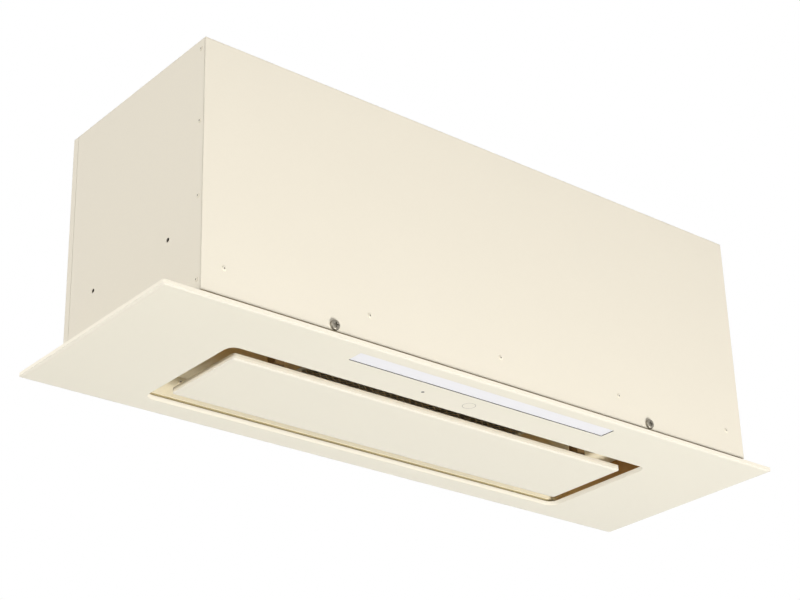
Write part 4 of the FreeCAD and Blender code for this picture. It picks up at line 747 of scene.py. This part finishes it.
# %% World
def sees_background(material):
    """1 for a ray from the camera or from a glossy or clear surface, 0 for light that is still bouncing."""
    ray = shader(material, "ShaderNodeLightPath").outputs
    seen = ray["Is Camera Ray"]
    for kind in ("Is Glossy Ray", "Is Transmission Ray"):
        seen = shader(material, "ShaderNodeMath", {"operation": "ADD", "use_clamp": True}, Value=seen,
                      Value_001=ray[kind]).outputs[0]
    return seen


world = emptied(bpy.data.worlds.new("white_studio"))
bpy.context.scene.world = world
fill_level = 0.15
soft = shader(world, "ShaderNodeBackground", Color=(1, 1, 1, 1), Strength=fill_level).outputs[0]
plain = shader(world, "ShaderNodeBackground", Color=(1, 1, 1, 1), Strength=1.0).outputs[0]
both = shader(world, "ShaderNodeMixShader", Fac=sees_background(world), Shader=soft,
              Shader_001=plain).outputs[0]
shader(world, "ShaderNodeOutputWorld", Surface=both)
print("fill level", fill_level)

# %% Lamps
def softbox(name, power, side, towards, distance=3.0):
    """A square lamp that stands in a direction from the hood, faces it and isn't seen itself."""
    data = bpy.data.lights.new(name, "AREA")
    data.energy = power
    data.size = side
    light = bpy.data.objects.new(name, data)
    light.location = hood_middle + distance * Vector(towards).normalized()
    light.rotation_euler = (hood_middle - light.location).to_track_quat("-Z", "Y").to_euler()
    light.visible_camera = False
    bpy.context.scene.collection.objects.link(light)


hood_middle = Vector((0.0, 0.0, 0.1))
softbox("key_softbox", 199, 1.4, (0.22, -1.0, -1.2), 4.2)
softbox("front_softbox", 22, 1.6, (-0.3, -1.0, 0.0))
softbox("left_softbox", 50, 1.6, (-1.0, 0.0, 0.0))
softbox("back_softbox", 105, 1.6, (0.35, 1.0, 0.8))
print("lamps aim at", tuple(hood_middle))

# %% [markdown]
# The hood hangs in the air, so the floor lies far below it, under every camera that looks up. To the
# camera, and in glossy surfaces, it is nearly white, like the background, and its matt part keeps the
# hood's faint shadow.

# %% Floor
floor_reach, floor_level, floor_whiteness = 9.0, -3.4, 0.7
floor_paint = emptied(bpy.data.materials.new("pale_floor"))
matt = shader(floor_paint, "ShaderNodeBsdfDiffuse", Color=(0.9, 0.9, 0.9, 1)).outputs[0]
white = shader(floor_paint, "ShaderNodeEmission", Color=(1, 1, 1, 1), Strength=1.0).outputs[0]
floor_seen = shader(floor_paint, "ShaderNodeMath", {"operation": "MULTIPLY"},
                    Value=sees_background(floor_paint), Value_001=floor_whiteness).outputs[0]
floor_both = shader(floor_paint, "ShaderNodeMixShader", Fac=floor_seen, Shader=matt,
                    Shader_001=white).outputs[0]
shader(floor_paint, "ShaderNodeOutputMaterial", Surface=floor_both)
floor_mesh = bpy.data.meshes.new("floor")
corners = [(side * floor_reach, end * floor_reach, floor_level)
           for side, end in ((-1, -1), (1, -1), (1, 1), (-1, 1))]
floor_mesh.from_pydata(corners, [], [(0, 1, 2, 3)])
floor = bpy.data.objects.new("floor", floor_mesh)
floor_mesh.materials.append(floor_paint)
bpy.context.scene.collection.objects.link(floor)
print("the floor lies", -floor_level, "m below the flange")

# %% [markdown]
# Blender can bend colours to look like film. Here a colour should look as its chart says, so the plain
# Standard view is chosen.

# %% How colours are shown
bpy.context.scene.view_settings.view_transform = "Standard"
print("view transform:", bpy.context.scene.view_settings.view_transform)

# %% [markdown]
# The photograph looks up at the hood from its left front. Its camera was found from the hood's own
# corners, so the place, the turn and the lens below are the photograph's, with a slight roll in them.

# %% Camera
camera_data = bpy.data.cameras.new("studio_camera")
camera_data.lens = 85.956
camera_data.sensor_width = 36
camera_data.clip_start = 0.05
camera = bpy.data.objects.new("studio_camera", camera_data)
camera.location = (-1.34876, -1.56884, -0.83774)
camera.rotation_euler = [math.radians(turn) for turn in (115.7895, 1.5306, -39.3469)]
bpy.context.scene.collection.objects.link(camera)
bpy.context.scene.camera = camera
print("camera at", tuple(camera.location))
